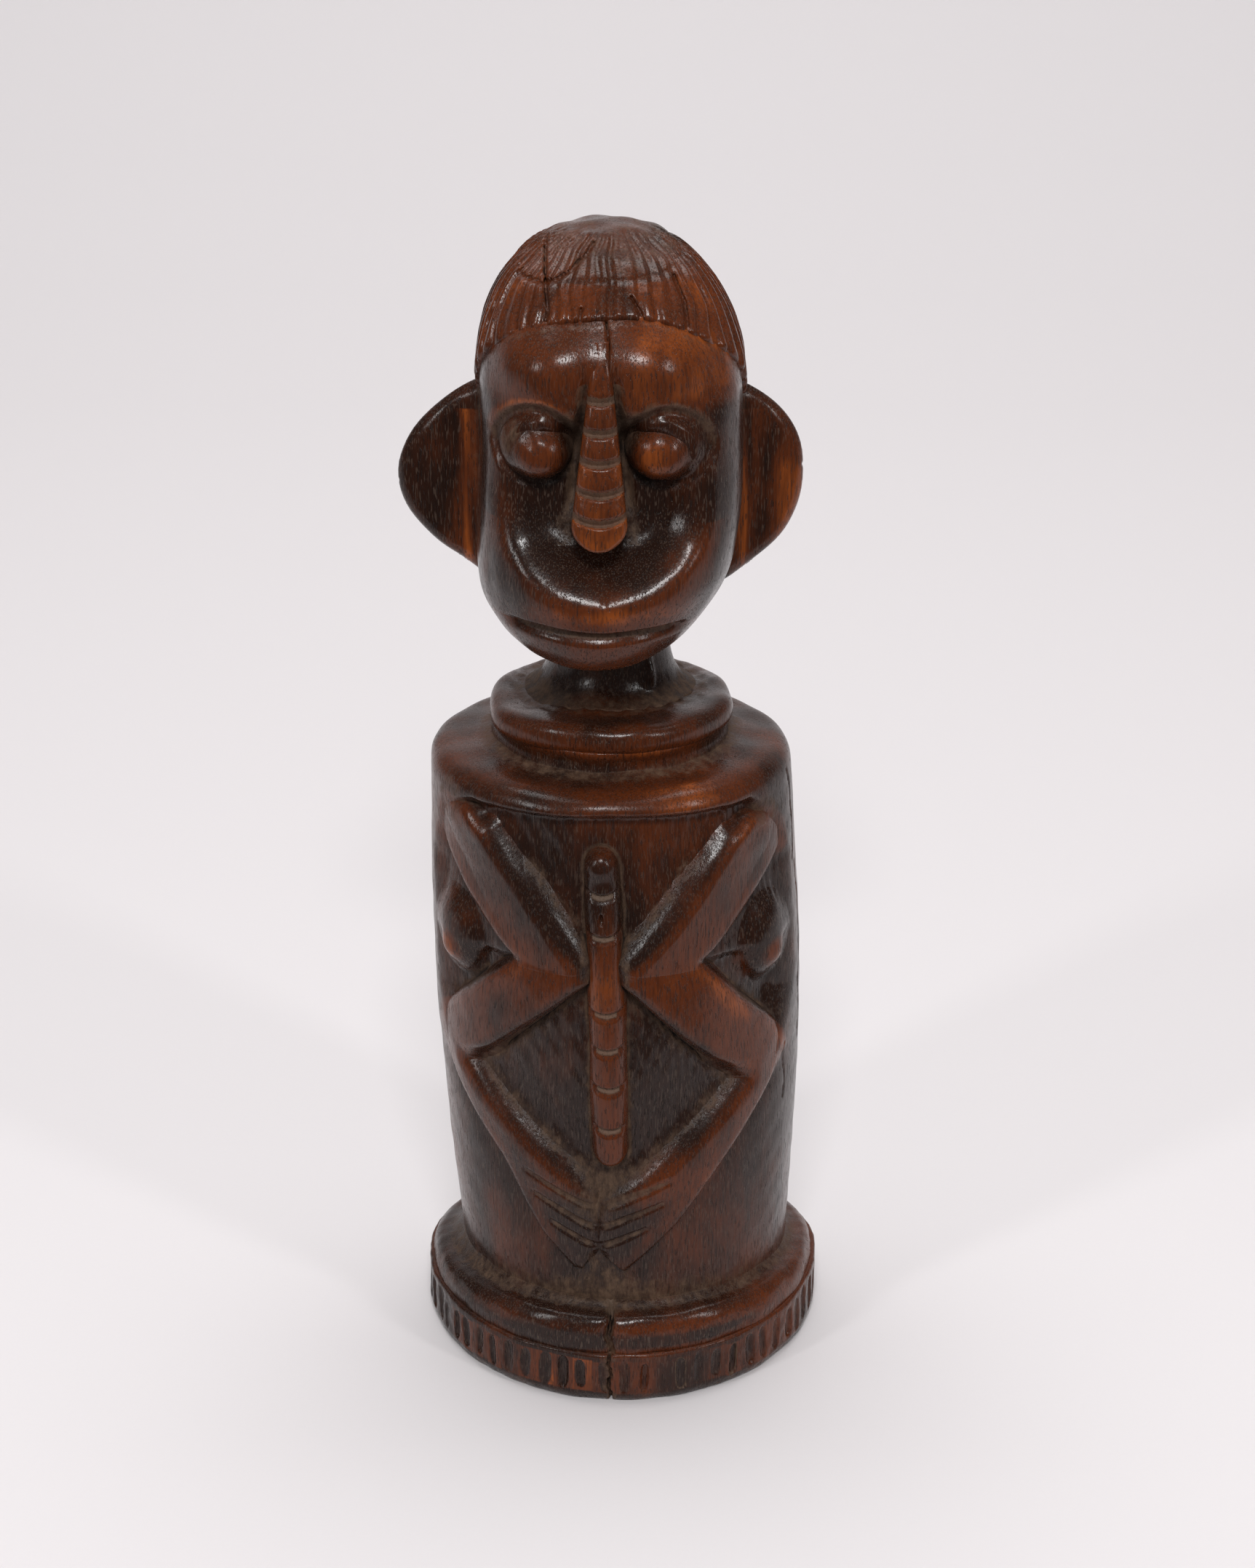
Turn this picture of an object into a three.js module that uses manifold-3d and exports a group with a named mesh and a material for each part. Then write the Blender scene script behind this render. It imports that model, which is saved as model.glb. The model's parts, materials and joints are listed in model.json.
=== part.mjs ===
// A carved wooden figure: a drum-shaped body on a notched foot ring, with a stepped collar,
// a thin neck and a large head with wing-like ears. Limbs, a spine bar and two breasts stand
// in relief on the front of the drum. The real figure is one block of hardwood, so every
// named mesh here is one carved form of that block, parted from its neighbours by a hairline.
// Millimetres, +Z up, the front faces -Y, and the origin is the centre of the flat underside.

import * as THREE from 'three';
import { mergeVertices } from 'three/addons/utils/BufferGeometryUtils.js';
import Module from 'manifold-3d';

const wasm = await Module();
wasm.setup();

// ---- driving dimensions ----

const GAP = 0.3; // hairline between carved forms

const BAND = {
  radius: 58.1, wallTop: 14.6, top: 15.7, notches: 63, notchRadius: 1.6, notchBottom: 3, notchTop: 14.2,
};
// The ridge stands higher at the front: its top falls backwards by the tilt over one band radius.
const RIDGE = { bottom: 16, lip: 57, crest: 54, crestTop: 19.6, top: 21.5, tilt: 6.5 };
const BACK = { flatness: 0.2, innerRadius: 33 }; // the back of the figure is flatter than its front

const TORSO = {
  foot: 21.8, shoulder: 184, shoulderRound: 6, top: 186.7, topRadius: 32.8,
  footX: 1, lean: -4.4, meanRadius: 50, frontFlat: 2.4, sides: 60, rows: 16,
};
// Swell of the drum from foot to shoulder: height, radius.
const DRUM_PROFILE = [[18, 47.8], [65, 50.3], [120, 51.9], [165, 50.5], [183, 50]];
const RECESS = { depth: 5, slope: 6 };
const DEEP_RADIUS = 38; // relief forms reach down to here before the drum is cut away from them

const TIER = { bottom: 187, top: 193.2, radius: 32.5 };
const FLANGE = { bottom: 193.5, top: 201, radius: 34.1, backFall: 5, fallPivotY: -30 };
const COLLAR_X = -3.2;
const NECK = { x: -3.3, y: 5, bottom: 194.5, waist: 210, top: 240, radius: 16.4, rootRadius: 20.5 };

const LIMB = { rise: 0.6, edgeDrop: 2.2, columns: 6, steps: 3 };
const BAR = {
  centre: -3.4, halfAngle: 5, top: 171.5, bottom: 74.6, rise: -0.4,
  notchRises: [159.7, 147.7, 124.2, 112.8, 100.7, 87.5], notchHeight: 2.2, notchDepth: 1.2,
};
const BREAST = { angleLeft: -61, angleRight: 58.5, z: 134, radius: 8.5, height: 13, sink: 7.5 };

const HEAD = { x: -4.2, squareness: 2.4, sides: 40 };
const HAIR = { rise: 1.2, frontZ: 283, fall: 42 };
const JAW = { top: 233.4, back: -17 };
const NOSE = {
  x: -5.3, top: 307, bottom: 258.5, topY: -41, bottomY: -49.5, topWidth: 4.4, bottomWidth: 15.2,
  notchRises: [295.3, 287.4, 279.8, 272, 264.9], notchHeight: 1.6, notchDepth: 0.8,
};
const EYE = { leftX: -20.8, rightX: 9.2, y: -30.5, z: 280.8, radius: 8.2 };
const EAR = { y: 1, thickness: 7, edge: 1.8 };

// Head sections from chin to crown: height, half width, front y, back y.
const HEAD_SECTIONS = [
  [221.2, 9, -38, -8], [223, 16, -41.5, 2], [226, 22, -43.5, 9], [230, 27, -45, 14],
  [236, 31.5, -46.5, 19], [243, 33.6, -47.5, 24], [250, 34, -44, 28], [258, 33.9, -39, 31.5],
  [268, 34, -37, 34], [280, 34, -37.5, 36], [292, 33, -39.5, 36], [303, 30.6, -39.5, 33],
  [311.5, 27.4, -36, 28.5], [319.5, 22.6, -29, 21], [326, 15.5, -19, 13], [329.7, 7, -8, 5],
];

// Outline of the sunk ground on the front of the drum: angle from the front, height.
const RECESS_OUTLINE = [
  [-48, 178], [48, 177], [70, 168], [84, 150], [84, 112], [68, 96], [40, 70], [18, 50],
  [2, 38], [-16, 38], [-32, 50], [-48, 70], [-70, 94], [-86, 112], [-86, 150], [-72, 166],
];

// Relief limbs: each row across a limb is [edge, other edge], each edge [angle, height].
const LIMB_ROWS = {
  upper_limb_left: [
    [[-50, 178.5], [-70, 170]], [[-41, 176], [-75, 162]], [[-24, 158], [-54, 149]],
    [[-9.4, 137], [-33, 136]],
  ],
  middle_limb_left: [
    [[-9.4, 133.5], [-33, 135.4]], [[-33, 114], [-54, 120]], [[-56, 97.8], [-75, 105]],
  ],
  lower_limb_left: [
    [[-56, 97.2], [-78, 102]], [[-40, 86], [-63, 86]], [[-24, 76], [-46, 71]],
    [[-10.5, 68], [-36, 58]],
  ],
  hand_left: [
    [[-9.8, 67.4], [-35.4, 57.4]], [[-9, 56], [-26, 47]], [[-10, 43], [-17, 38.6]],
  ],
  upper_limb_right: [
    [[48, 174], [67, 166]], [[38, 170], [70, 158]], [[20, 154], [49, 147]],
    [[2.6, 137], [29, 136]],
  ],
  middle_limb_right: [
    [[2.6, 133.5], [29, 135.4]], [[22, 113], [44, 120]], [[43, 96.6], [62, 105]],
  ],
  lower_limb_right: [
    [[43, 96], [66, 102]], [[30, 86], [51, 85]], [[14, 75], [36, 71]], [[3, 67.5], [26.4, 61]],
  ],
  hand_right: [
    [[2.2, 66.9], [25.6, 60.4]], [[-7.8, 55], [14, 50]], [[-6.5, 43], [2.5, 40]],
  ],
};

// Ears from the root to the tip: x, upper edge z, lower edge z.
const EAR_STATIONS = {
  ear_left: [[-30, 289, 226], [-39, 286.5, 234.5], [-45, 283, 239.5], [-50.5, 278.5, 243],
    [-55, 273, 248.5], [-58.2, 268, 254], [-59.8, 263, 259.5]],
  ear_right: [[21, 289, 227], [31, 286.5, 232], [36.5, 283.5, 235.5], [41.5, 279.5, 240],
    [45.4, 274.5, 245.5], [47.6, 269, 252], [48.4, 264, 258]],
};

// ---- materials ----

function wood(colour, roughness) {
  return new THREE.MeshStandardMaterial({ color: colour, roughness, metalness: 0 });
}

const DARK_WOOD = wood(0x2a1712, 0.42);
const SUNK_WOOD = wood(0x33251d, 0.6);
const WORN_WOOD = wood(0x5a2a15, 0.38);

// ---- geometry helpers ----

const radians = THREE.MathUtils.degToRad;

// A three.js geometry as a solid that can be joined and cut.
function solid(geometry) {
  const bare = geometry.clone();
  bare.deleteAttribute('normal');
  bare.deleteAttribute('uv');
  const merged = mergeVertices(bare, 1e-4);
  return new wasm.Manifold(new wasm.Mesh({
    numProp: 3,
    vertProperties: new Float32Array(merged.attributes.position.array),
    triVerts: new Uint32Array(merged.index.array),
  }));
}

// The same solid with each of its points moved.
function reshaped(form, move) {
  const cut = form.getMesh();
  const points = new Float32Array(cut.vertProperties);
  const point = new THREE.Vector3();
  for (let start = 0; start < points.length; start += 3) {
    point.fromArray(points, start);
    move(point);
    point.toArray(points, start);
  }
  return new wasm.Manifold(new wasm.Mesh({ numProp: 3, vertProperties: points, triVerts: cut.triVerts }));
}

function carvedForm(name, form, material) {
  const cut = form.getMesh();
  const geometry = new THREE.BufferGeometry();
  geometry.setAttribute('position', new THREE.BufferAttribute(cut.vertProperties, 3));
  geometry.setIndex(new THREE.BufferAttribute(cut.triVerts, 1));
  geometry.computeVertexNormals();
  const mesh = new THREE.Mesh(geometry, material);
  mesh.name = name;
  return mesh;
}

// A closed skin through rings of equal point count, with a fan over each end.
function loft(rings) {
  const count = rings[0].length;
  const points = rings.flat();
  const index = [];
  for (let ring = 0; ring + 1 < rings.length; ring += 1) {
    for (let i = 0; i < count; i += 1) {
      const a = ring * count + i;
      const b = ring * count + ((i + 1) % count);
      index.push(a, b, b + count, a, b + count, a + count);
    }
  }
  const addFan = (start, flip) => {
    const centre = new THREE.Vector3();
    for (let i = 0; i < count; i += 1) {
      centre.addScaledVector(points[start + i], 1 / count);
    }
    points.push(centre);
    for (let i = 0; i < count; i += 1) {
      const edge = [start + i, start + ((i + 1) % count)];
      index.push(points.length - 1, ...(flip ? edge.reverse() : edge));
    }
  };
  addFan(0, true);
  addFan((rings.length - 1) * count, false);
  if (signedVolume(points, index) < 0) {
    index.reverse();
  }
  const geometry = new THREE.BufferGeometry().setFromPoints(points);
  geometry.setIndex(index);
  return solid(geometry);
}

function signedVolume(points, index) {
  const cross = new THREE.Vector3();
  let sum = 0;
  for (let i = 0; i < index.length; i += 3) {
    cross.crossVectors(points[index[i + 1]], points[index[i + 2]]);
    sum += points[index[i]].dot(cross);
  }
  return sum;
}

// A solid of revolution about a vertical axis, from [radius, height] points.
function turned(profile, sides, x = 0, y = 0) {
  const points = profile.map(([radius, height]) => new THREE.Vector2(radius, height));
  const geometry = new THREE.LatheGeometry(points, sides);
  geometry.rotateX(Math.PI / 2);
  geometry.translate(x, y, 0);
  return solid(geometry);
}

function box(width, depth, height, x, y, z) {
  return new THREE.BoxGeometry(width, depth, height).translate(x, y, z);
}

// ---- drum-shaped body ----

function smooth(value) {
  const t = THREE.MathUtils.clamp(value, 0, 1);
  return t * t * (3 - 2 * t);
}

// Point on the leaning drum at an angle from the front, a height and a radius.
function onDrum(angle, z, radius) {
  const a = radians(angle);
  const axisX = TORSO.footX + TORSO.lean * Math.min(z / TORSO.shoulder, 1) ** 1.3;
  return new THREE.Vector3(axisX + radius * Math.sin(a), -radius * Math.cos(a), z);
}

function drumRadius(angle, z) {
  const next = Math.max(DRUM_PROFILE.findIndex(([height]) => height >= z), 1);
  const [lowZ, lowRadius] = DRUM_PROFILE[next - 1];
  const [highZ, highRadius] = DRUM_PROFILE[next];
  const along = Math.max((z - lowZ) / (highZ - lowZ), 0);
  const rise = THREE.MathUtils.clamp(z / TORSO.shoulder, 0, 1);
  const facing = Math.max(Math.cos(radians(angle)), 0);
  const round = THREE.MathUtils.lerp(lowRadius, highRadius, along);
  return round - TORSO.frontFlat * rise * facing ** 2;
}

// How far inside the sunk ground a spot lies, in millimetres; negative outside it.
function insideRecess(angle, z) {
  const scale = radians(TORSO.meanRadius);
  let nearest = Infinity;
  let inside = false;
  RECESS_OUTLINE.forEach(([startAngle, startZ], i) => {
    const [endAngle, endZ] = RECESS_OUTLINE[(i + 1) % RECESS_OUTLINE.length];
    const start = new THREE.Vector3(startAngle * scale, startZ, 0);
    const edge = new THREE.Line3(start, new THREE.Vector3(endAngle * scale, endZ, 0));
    const spot = new THREE.Vector3(angle * scale, z, 0);
    nearest = Math.min(nearest, edge.closestPointToPoint(spot, true, new THREE.Vector3()).distanceTo(spot));
    const crosses = (startZ > z) !== (endZ > z);
    if (crosses && angle < startAngle + ((z - startZ) / (endZ - startZ)) * (endAngle - startAngle)) {
      inside = !inside;
    }
  });
  return inside ? nearest : -nearest;
}

// Draws the outer part of the back in, so that the plan is round in front and flatter behind.
function flattenBack(point) {
  const outer = (Math.hypot(point.x, point.y) - BACK.innerRadius) / (BAND.radius - BACK.innerRadius);
  if (point.y > 0) point.y *= 1 - BACK.flatness * THREE.MathUtils.clamp(outer, 0, 1);
}

function tiltLift(point) {
  return (-point.y / BAND.radius) * RIDGE.tilt;
}

function torsoForm(grow) {
  const heights = [];
  const wallTop = TORSO.shoulder - TORSO.shoulderRound;
  for (let row = 0; row <= TORSO.rows; row += 1) {
    heights.push(THREE.MathUtils.lerp(TORSO.foot, wallTop, row / TORSO.rows));
  }
  const ringAt = (z, radiusAt) => {
    const ring = [];
    for (let side = 0; side < TORSO.sides; side += 1) {
      const angle = -180 + (360 * side) / TORSO.sides;
      ring.push(onDrum(angle, z, radiusAt(angle) + grow));
    }
    return ring;
  };
  const rings = heights.map((z) => ringAt(z, (angle) => {
    const sunk = RECESS.depth * smooth(insideRecess(angle, z) / RECESS.slope);
    return drumRadius(angle, z) - sunk;
  }));
  for (const turn of [30, 60, 90]) {
    const z = wallTop + TORSO.shoulderRound * Math.sin(radians(turn));
    const inset = TORSO.shoulderRound * (1 - Math.cos(radians(turn)));
    rings.push(ringAt(z, (angle) => drumRadius(angle, z) - inset));
  }
  rings.push(ringAt(TORSO.top, () => TORSO.topRadius));
  return reshaped(loft(rings), (point) => {
    flattenBack(point);
    if (point.z < TORSO.foot + 0.1) point.z += tiltLift(point);
  });
}

// A raised pad on the drum: rows of [edge, other edge], crowned between its two edges.
function reliefPad(rows, rise, edgeDrop, grow) {
  const rings = [];
  const lerp = THREE.MathUtils.lerp;
  for (let row = 0; row + 1 < rows.length; row += 1) {
    const last = row + 2 === rows.length ? 1 : 0;
    for (let step = 0; step < LIMB.steps + last; step += 1) {
      const t = step / LIMB.steps;
      const [near, far] = [0, 1].map((edge) => [
        lerp(rows[row][edge][0], rows[row + 1][edge][0], t),
        lerp(rows[row][edge][1], rows[row + 1][edge][1], t),
      ]);
      const crown = [];
      const root = [];
      for (let column = 0; column <= LIMB.columns; column += 1) {
        const u = column / LIMB.columns;
        const angle = lerp(near[0], far[0], u);
        const z = lerp(near[1], far[1], u);
        const drop = edgeDrop * Math.abs(2 * u - 1) ** 3;
        crown.push(onDrum(angle, z, drumRadius(angle, z) + rise - drop + grow));
        root.unshift(onDrum(angle, z, DEEP_RADIUS));
      }
      rings.push([...crown, ...root]);
    }
  }
  return loft(rings);
}

function baseBand() {
  let band = turned([[0, 0], [BAND.radius - 0.4, 0], [BAND.radius, 0.8], [BAND.radius, BAND.wallTop],
    [57.2, BAND.top], [0, BAND.top]], BAND.notches);
  const height = BAND.notchTop - BAND.notchBottom;
  for (let notch = 0; notch < BAND.notches; notch += 1) {
    const cutter = new THREE.CylinderGeometry(BAND.notchRadius, BAND.notchRadius, height, 6);
    cutter.rotateX(Math.PI / 2);
    cutter.translate(0, -(BAND.radius + BAND.notchRadius * 0.4), BAND.notchBottom + height / 2);
    cutter.rotateZ((2 * Math.PI * (notch + 0.5)) / BAND.notches);
    band = band.subtract(solid(cutter));
  }
  return reshaped(band, flattenBack);
}

function baseRidge() {
  const ring = turned([[0, RIDGE.bottom], [RIDGE.lip - 0.6, RIDGE.bottom], [RIDGE.lip, 17],
    [56.4, 18.2], [55.4, 19.2], [RIDGE.crest, RIDGE.crestTop], [51, 19.9], [49.4, 20.4],
    [48.4, RIDGE.top], [0, RIDGE.top]], 60);
  const height = RIDGE.top - RIDGE.bottom;
  return reshaped(ring, (point) => {
    flattenBack(point);
    point.z += tiltLift(point) * ((point.z - RIDGE.bottom) / height);
  });
}

function bellyBar() {
  const { centre, halfAngle, top, bottom } = BAR;
  const row = (z, half) => [[centre - half, z], [centre + half, z]];
  const rows = [row(top, halfAngle * 0.45), row(top - 2.6, halfAngle)];
  for (let z = top - 22; z > bottom + 12; z -= 20) {
    rows.push(row(z, halfAngle));
  }
  rows.push(row(bottom + 2.6, halfAngle), row(bottom, halfAngle * 0.45));
  let bar = reliefPad(rows, BAR.rise, 1, 0).subtract(torsoForm(GAP));
  for (const z of BAR.notchRises) {
    const front = onDrum(centre, z, drumRadius(centre, z) + BAR.rise);
    const cutter = box(30, 10, BAR.notchHeight, front.x, front.y - 5 + BAR.notchDepth, z);
    bar = bar.subtract(solid(cutter));
  }
  return bar;
}

function breast(angle) {
  const place = onDrum(angle, BREAST.z, drumRadius(angle, BREAST.z) - BREAST.sink);
  const shape = new THREE.SphereGeometry(BREAST.radius, 16, 10);
  shape.rotateX(Math.PI / 2);
  shape.scale(1, 1, BREAST.height / BREAST.radius);
  shape.translate(place.x, place.y, place.z);
  return solid(shape).subtract(torsoForm(GAP));
}

// ---- collar and neck ----

function collarTier() {
  const { bottom, top, radius } = TIER;
  return turned([[0, bottom], [radius, bottom], [radius - 0.6, (bottom + top) / 2], [radius, top],
    [0, top]], 48, COLLAR_X);
}

function collarFlange(grow) {
  const { bottom, top, radius, backFall, fallPivotY } = FLANGE;
  const disc = turned([[0, bottom], [radius - 0.8, bottom], [radius, bottom + 1.6],
    [radius, top - 3], [radius - 0.9, top - 1.1], [radius - 2.8, top], [0, top]], 48, COLLAR_X);
  const above = box(200, 200, 40, 0, 0, 20 + grow);
  above.rotateX(-radians(backFall));
  above.translate(0, fallPivotY, top);
  return disc.subtract(solid(above));
}

function neck() {
  const { bottom, waist, top, radius, rootRadius } = NECK;
  const shape = turned([[0, bottom], [rootRadius, bottom], [rootRadius, bottom + 5],
    [radius + 1.2, waist - 5], [radius, waist], [radius + 0.6, waist + 6], [rootRadius, top],
    [0, top]], 32, NECK.x, NECK.y);
  return shape.subtract(collarFlange(GAP)).subtract(headForm(GAP));
}

// ---- head ----

function headForm(grow) {
  const last = HEAD_SECTIONS.length - 1;
  const power = 2 / HEAD.squareness;
  const soften = (value) => Math.sign(value) * Math.abs(value) ** power;
  return loft(HEAD_SECTIONS.map(([z, half, front, back], section) => {
    const ring = [];
    const stretch = (section === last ? grow : 0) - (section === 0 ? grow : 0);
    for (let side = 0; side < HEAD.sides; side += 1) {
      const turn = (2 * Math.PI * side) / HEAD.sides;
      const x = HEAD.x + (half + grow) * soften(Math.cos(turn));
      const y = (front + back) / 2 + ((back - front) / 2 + grow) * soften(Math.sin(turn));
      ring.push(new THREE.Vector3(x, y, z + stretch));
    }
    return ring;
  }));
}

// Everything above the hairline plane, which falls from the forehead to the nape.
function hairSpace(lower) {
  const space = box(200, 200, 120, 0, 0, 60 - lower);
  space.rotateX(-radians(HAIR.fall));
  space.translate(0, 0, HAIR.frontZ);
  return solid(space);
}

function jawSpace(grow) {
  const height = 40;
  return solid(box(120, 60, height, HEAD.x, JAW.back - 30 + grow, JAW.top - height / 2 + grow));
}

function noseBar() {
  const rings = [];
  for (let step = 0; step <= 6; step += 1) {
    const t = step / 6;
    const z = THREE.MathUtils.lerp(NOSE.top, NOSE.bottom, t);
    const y = THREE.MathUtils.lerp(NOSE.topY, NOSE.bottomY, t ** 1.2);
    const half = THREE.MathUtils.lerp(NOSE.topWidth, NOSE.bottomWidth, t) / 2;
    const outline = [[-half, 25], [-half, 1.4], [-half * 0.7, 0.2], [0, 0], [half * 0.7, 0.2],
      [half, 1.4], [half, 25]];
    rings.push(outline.map(([x, depth]) => new THREE.Vector3(NOSE.x + x, y + depth, z)));
  }
  let nose = loft(rings).subtract(headForm(GAP));
  for (const z of NOSE.notchRises) {
    const t = (NOSE.top - z) / (NOSE.top - NOSE.bottom);
    const y = THREE.MathUtils.lerp(NOSE.topY, NOSE.bottomY, t ** 1.2);
    nose = nose.subtract(solid(box(40, 6, NOSE.notchHeight, NOSE.x, y - 3 + NOSE.notchDepth, z)));
  }
  return nose;
}

function eye(x) {
  const ball = new THREE.SphereGeometry(EYE.radius, 16, 12).translate(x, EYE.y, EYE.z);
  return solid(ball).subtract(headForm(GAP)).subtract(noseBar());
}

function ear(stations) {
  const half = EAR.thickness / 2;
  const rings = stations.map(([x, upper, lower]) => [
    [-half + EAR.edge, upper], [half - EAR.edge, upper], [half, upper - EAR.edge],
    [half, lower + EAR.edge], [half - EAR.edge, lower], [-half + EAR.edge, lower],
    [-half, lower + EAR.edge], [-half, upper - EAR.edge],
  ].map(([y, z]) => new THREE.Vector3(x, EAR.y + y, z)));
  const hair = headForm(HAIR.rise + GAP).intersect(hairSpace(0));
  return loft(rings).subtract(headForm(GAP)).subtract(hair);
}

// ---- assembly ----

const doll = new THREE.Group();

function add(name, form, material) {
  doll.add(carvedForm(name, form, material));
}

add('base_band', baseBand(), WORN_WOOD);
add('base_ridge', baseRidge(), DARK_WOOD);
add('torso', torsoForm(0), SUNK_WOOD);
add('collar_tier', collarTier(), DARK_WOOD);
add('collar_flange', collarFlange(0), DARK_WOOD);
add('neck', neck(), SUNK_WOOD);

for (const [name, rows] of Object.entries(LIMB_ROWS)) {
  const limb = reliefPad(rows, LIMB.rise, LIMB.edgeDrop, 0).subtract(torsoForm(GAP));
  add(name, limb, WORN_WOOD);
}
add('belly_bar', bellyBar(), WORN_WOOD);
add('breast_left', breast(BREAST.angleLeft), DARK_WOOD);
add('breast_right', breast(BREAST.angleRight), DARK_WOOD);

add('head', headForm(0).subtract(hairSpace(0)).subtract(jawSpace(GAP)), DARK_WOOD);
add('lower_jaw', headForm(0).intersect(jawSpace(0)), WORN_WOOD);
add('hair_cap', headForm(HAIR.rise).intersect(hairSpace(-GAP)), DARK_WOOD);
add('nose_bar', noseBar(), WORN_WOOD);
add('eye_left', eye(EYE.leftX), WORN_WOOD);
add('eye_right', eye(EYE.rightX), WORN_WOOD);
for (const [name, stations] of Object.entries(EAR_STATIONS)) {
  add(name, ear(stations), DARK_WOOD);
}

export default doll;
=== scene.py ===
import json
import math

import bpy
import numpy as np
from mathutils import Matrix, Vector


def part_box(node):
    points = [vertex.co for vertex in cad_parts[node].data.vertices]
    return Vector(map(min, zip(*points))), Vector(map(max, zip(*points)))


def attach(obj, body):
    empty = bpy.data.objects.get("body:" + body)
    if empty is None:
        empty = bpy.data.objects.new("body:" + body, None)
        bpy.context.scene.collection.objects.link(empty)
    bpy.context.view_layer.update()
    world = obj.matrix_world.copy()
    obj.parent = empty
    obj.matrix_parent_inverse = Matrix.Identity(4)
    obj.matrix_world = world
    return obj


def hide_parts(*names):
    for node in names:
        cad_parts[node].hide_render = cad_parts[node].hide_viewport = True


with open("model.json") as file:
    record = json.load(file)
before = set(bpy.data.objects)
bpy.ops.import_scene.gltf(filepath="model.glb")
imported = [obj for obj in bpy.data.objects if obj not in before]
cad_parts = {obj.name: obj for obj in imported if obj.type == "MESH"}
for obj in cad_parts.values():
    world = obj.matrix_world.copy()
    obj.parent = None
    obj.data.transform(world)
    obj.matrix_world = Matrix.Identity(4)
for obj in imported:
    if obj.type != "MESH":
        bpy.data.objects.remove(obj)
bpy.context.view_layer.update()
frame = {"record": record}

MM = 0.001
VOXEL_SCALE = 1.0
rng = np.random.default_rng(7)


def node_box(node):
    """Lowest and highest corner of a CAD node, in millimetres."""
    low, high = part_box(node)
    return np.array(low) / MM, np.array(high) / MM


# ---- sizes from the frame ----

BAND_LOW, BAND_HIGH = node_box("base_band")
RIDGE_LOW, RIDGE_HIGH = node_box("base_ridge")
TORSO_LOW, TORSO_HIGH = node_box("torso")
TIER_LOW, TIER_HIGH = node_box("collar_tier")
FLANGE_LOW, FLANGE_HIGH = node_box("collar_flange")
NECK_LOW, NECK_HIGH = node_box("neck")
HEAD_LOW, HEAD_HIGH = node_box("head")
NOSE_LOW, NOSE_HIGH = node_box("nose_bar")

BAND_RADIUS = (BAND_HIGH[0] - BAND_LOW[0]) / 2
BAND_TOP = BAND_HIGH[2]
SHOULDER_Z = TORSO_HIGH[2] - 3.4
FLANGE_RADIUS = (FLANGE_HIGH[0] - FLANGE_LOW[0]) / 2
TIER_RADIUS = (TIER_HIGH[0] - TIER_LOW[0]) / 2
COLLAR_X = (TIER_HIGH[0] + TIER_LOW[0]) / 2
NECK_X = (NECK_HIGH[0] + NECK_LOW[0]) / 2
NECK_Y = (NECK_HIGH[1] + NECK_LOW[1]) / 2
HEAD_X = (HEAD_HIGH[0] + HEAD_LOW[0]) / 2
CROWN_Z = node_box("hair_cap")[1][2]

# ---- sizes of the carving, not from the frame ----

DRUM_AXIS_FOOT_X, DRUM_LEAN = 1.0, -4.4
DRUM_PROFILE = [(10, 47.6), (30, 48.2), (65, 50.3), (120, 51.9), (165, 50.5), (190, 49.9)]
DRUM_FRONT_FLAT = 2.4
ARC = math.radians(1) * 50  # millimetres of drum wall per degree

# Outline of the deeply sunk ground: angle from the front in degrees, height.
SUNK_OUTLINE = [(-50, 181.5), (0, 183.5), (52, 181), (66, 174), (74, 156), (76, 114), (62, 97),
                (30, 76), (8, 60), (-9, 54), (-26, 62), (-50, 80), (-70, 96), (-78, 114),
                (-78, 156), (-68, 176)]
SUNK_DEPTH = 5.4

# Each limb zigzags from shoulder to hand between an inner and an outer edge line.
LIMBS = {
    "left": {
        "inner": [(-46, 176), (-42, 173.5), (-24.5, 155), (-9.6, 138), (-8.9, 132.4),
                  (-33, 114.5), (-56, 97), (-33, 82), (-13, 69), (-8.6, 64), (-8.4, 47), (-11, 43.5)],
        "outer": [(-46, 176), (-54, 178.5), (-64, 178), (-72, 173.5), (-76, 164), (-55, 149),
                  (-33.5, 136), (-54, 121),
                  (-76, 107), (-80.5, 98), (-64, 86), (-44, 70), (-29, 49.5), (-17, 38.6),
                  (-14.5, 38.6)],
        "knob": (-62, 171), "hand": (-8.4, -1),
    },
    "right": {
        "inner": [(45, 174), (40, 171), (20, 152), (2.4, 137.5), (2.2, 132.4),
                  (23, 113), (44, 95.3), (24, 81.5), (7, 69.5), (-7.4, 62), (-8.2, 47), (-5.5, 43.5)],
        "outer": [(45, 174), (53, 175.5), (63, 174), (70, 167.5), (71.5, 159), (50, 147.5),
                  (29, 136), (44, 121),
                  (62, 107), (68, 97), (51, 84), (36, 70.5), (18, 53), (3.2, 41), (0.5, 38.8)],
        "knob": (60, 166), "hand": (-8.4, 1),
    },
}
LIMB_RISE = 0.7

BAR_ANGLE, BAR_HALF = -3.3, 4.3
BAR_TOP, BAR_BOTTOM = 170.5, 74.4
BAR_NOTCHES = [159.7, 147.7, 124.2, 112.8, 100.7, 87.5]

BREASTS = {"left": (-62.5, 131.5), "right": (59.5, 130.5)}

DISH_CENTRE, DISH_HALF = (HEAD_X - 0.6, 268.0), (29.5, 26.5)
# Eyeball centre and half width and height, then the almond round it: centre and half sizes.
EYES = {"left": (-20.4, -33.8, 280.4, 7.3, 7.2), "right": (9.8, -34.0, 280.6, 8.2, 7.6)}
SOCKETS = {"left": (-21.6, 282.2, 9.6, 9.9), "right": (11.2, 281.8, 10.8, 10.2)}
NOSE_TOP, NOSE_BOTTOM = NOSE_HIGH[2] + 3, NOSE_LOW[2]
NOSE_NOTCHES = [295.3, 287.4, 279.8, 272.0, 264.9]
MOUTH_Z, MOUTH_DEPTH = 235.0, 2.2

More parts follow.
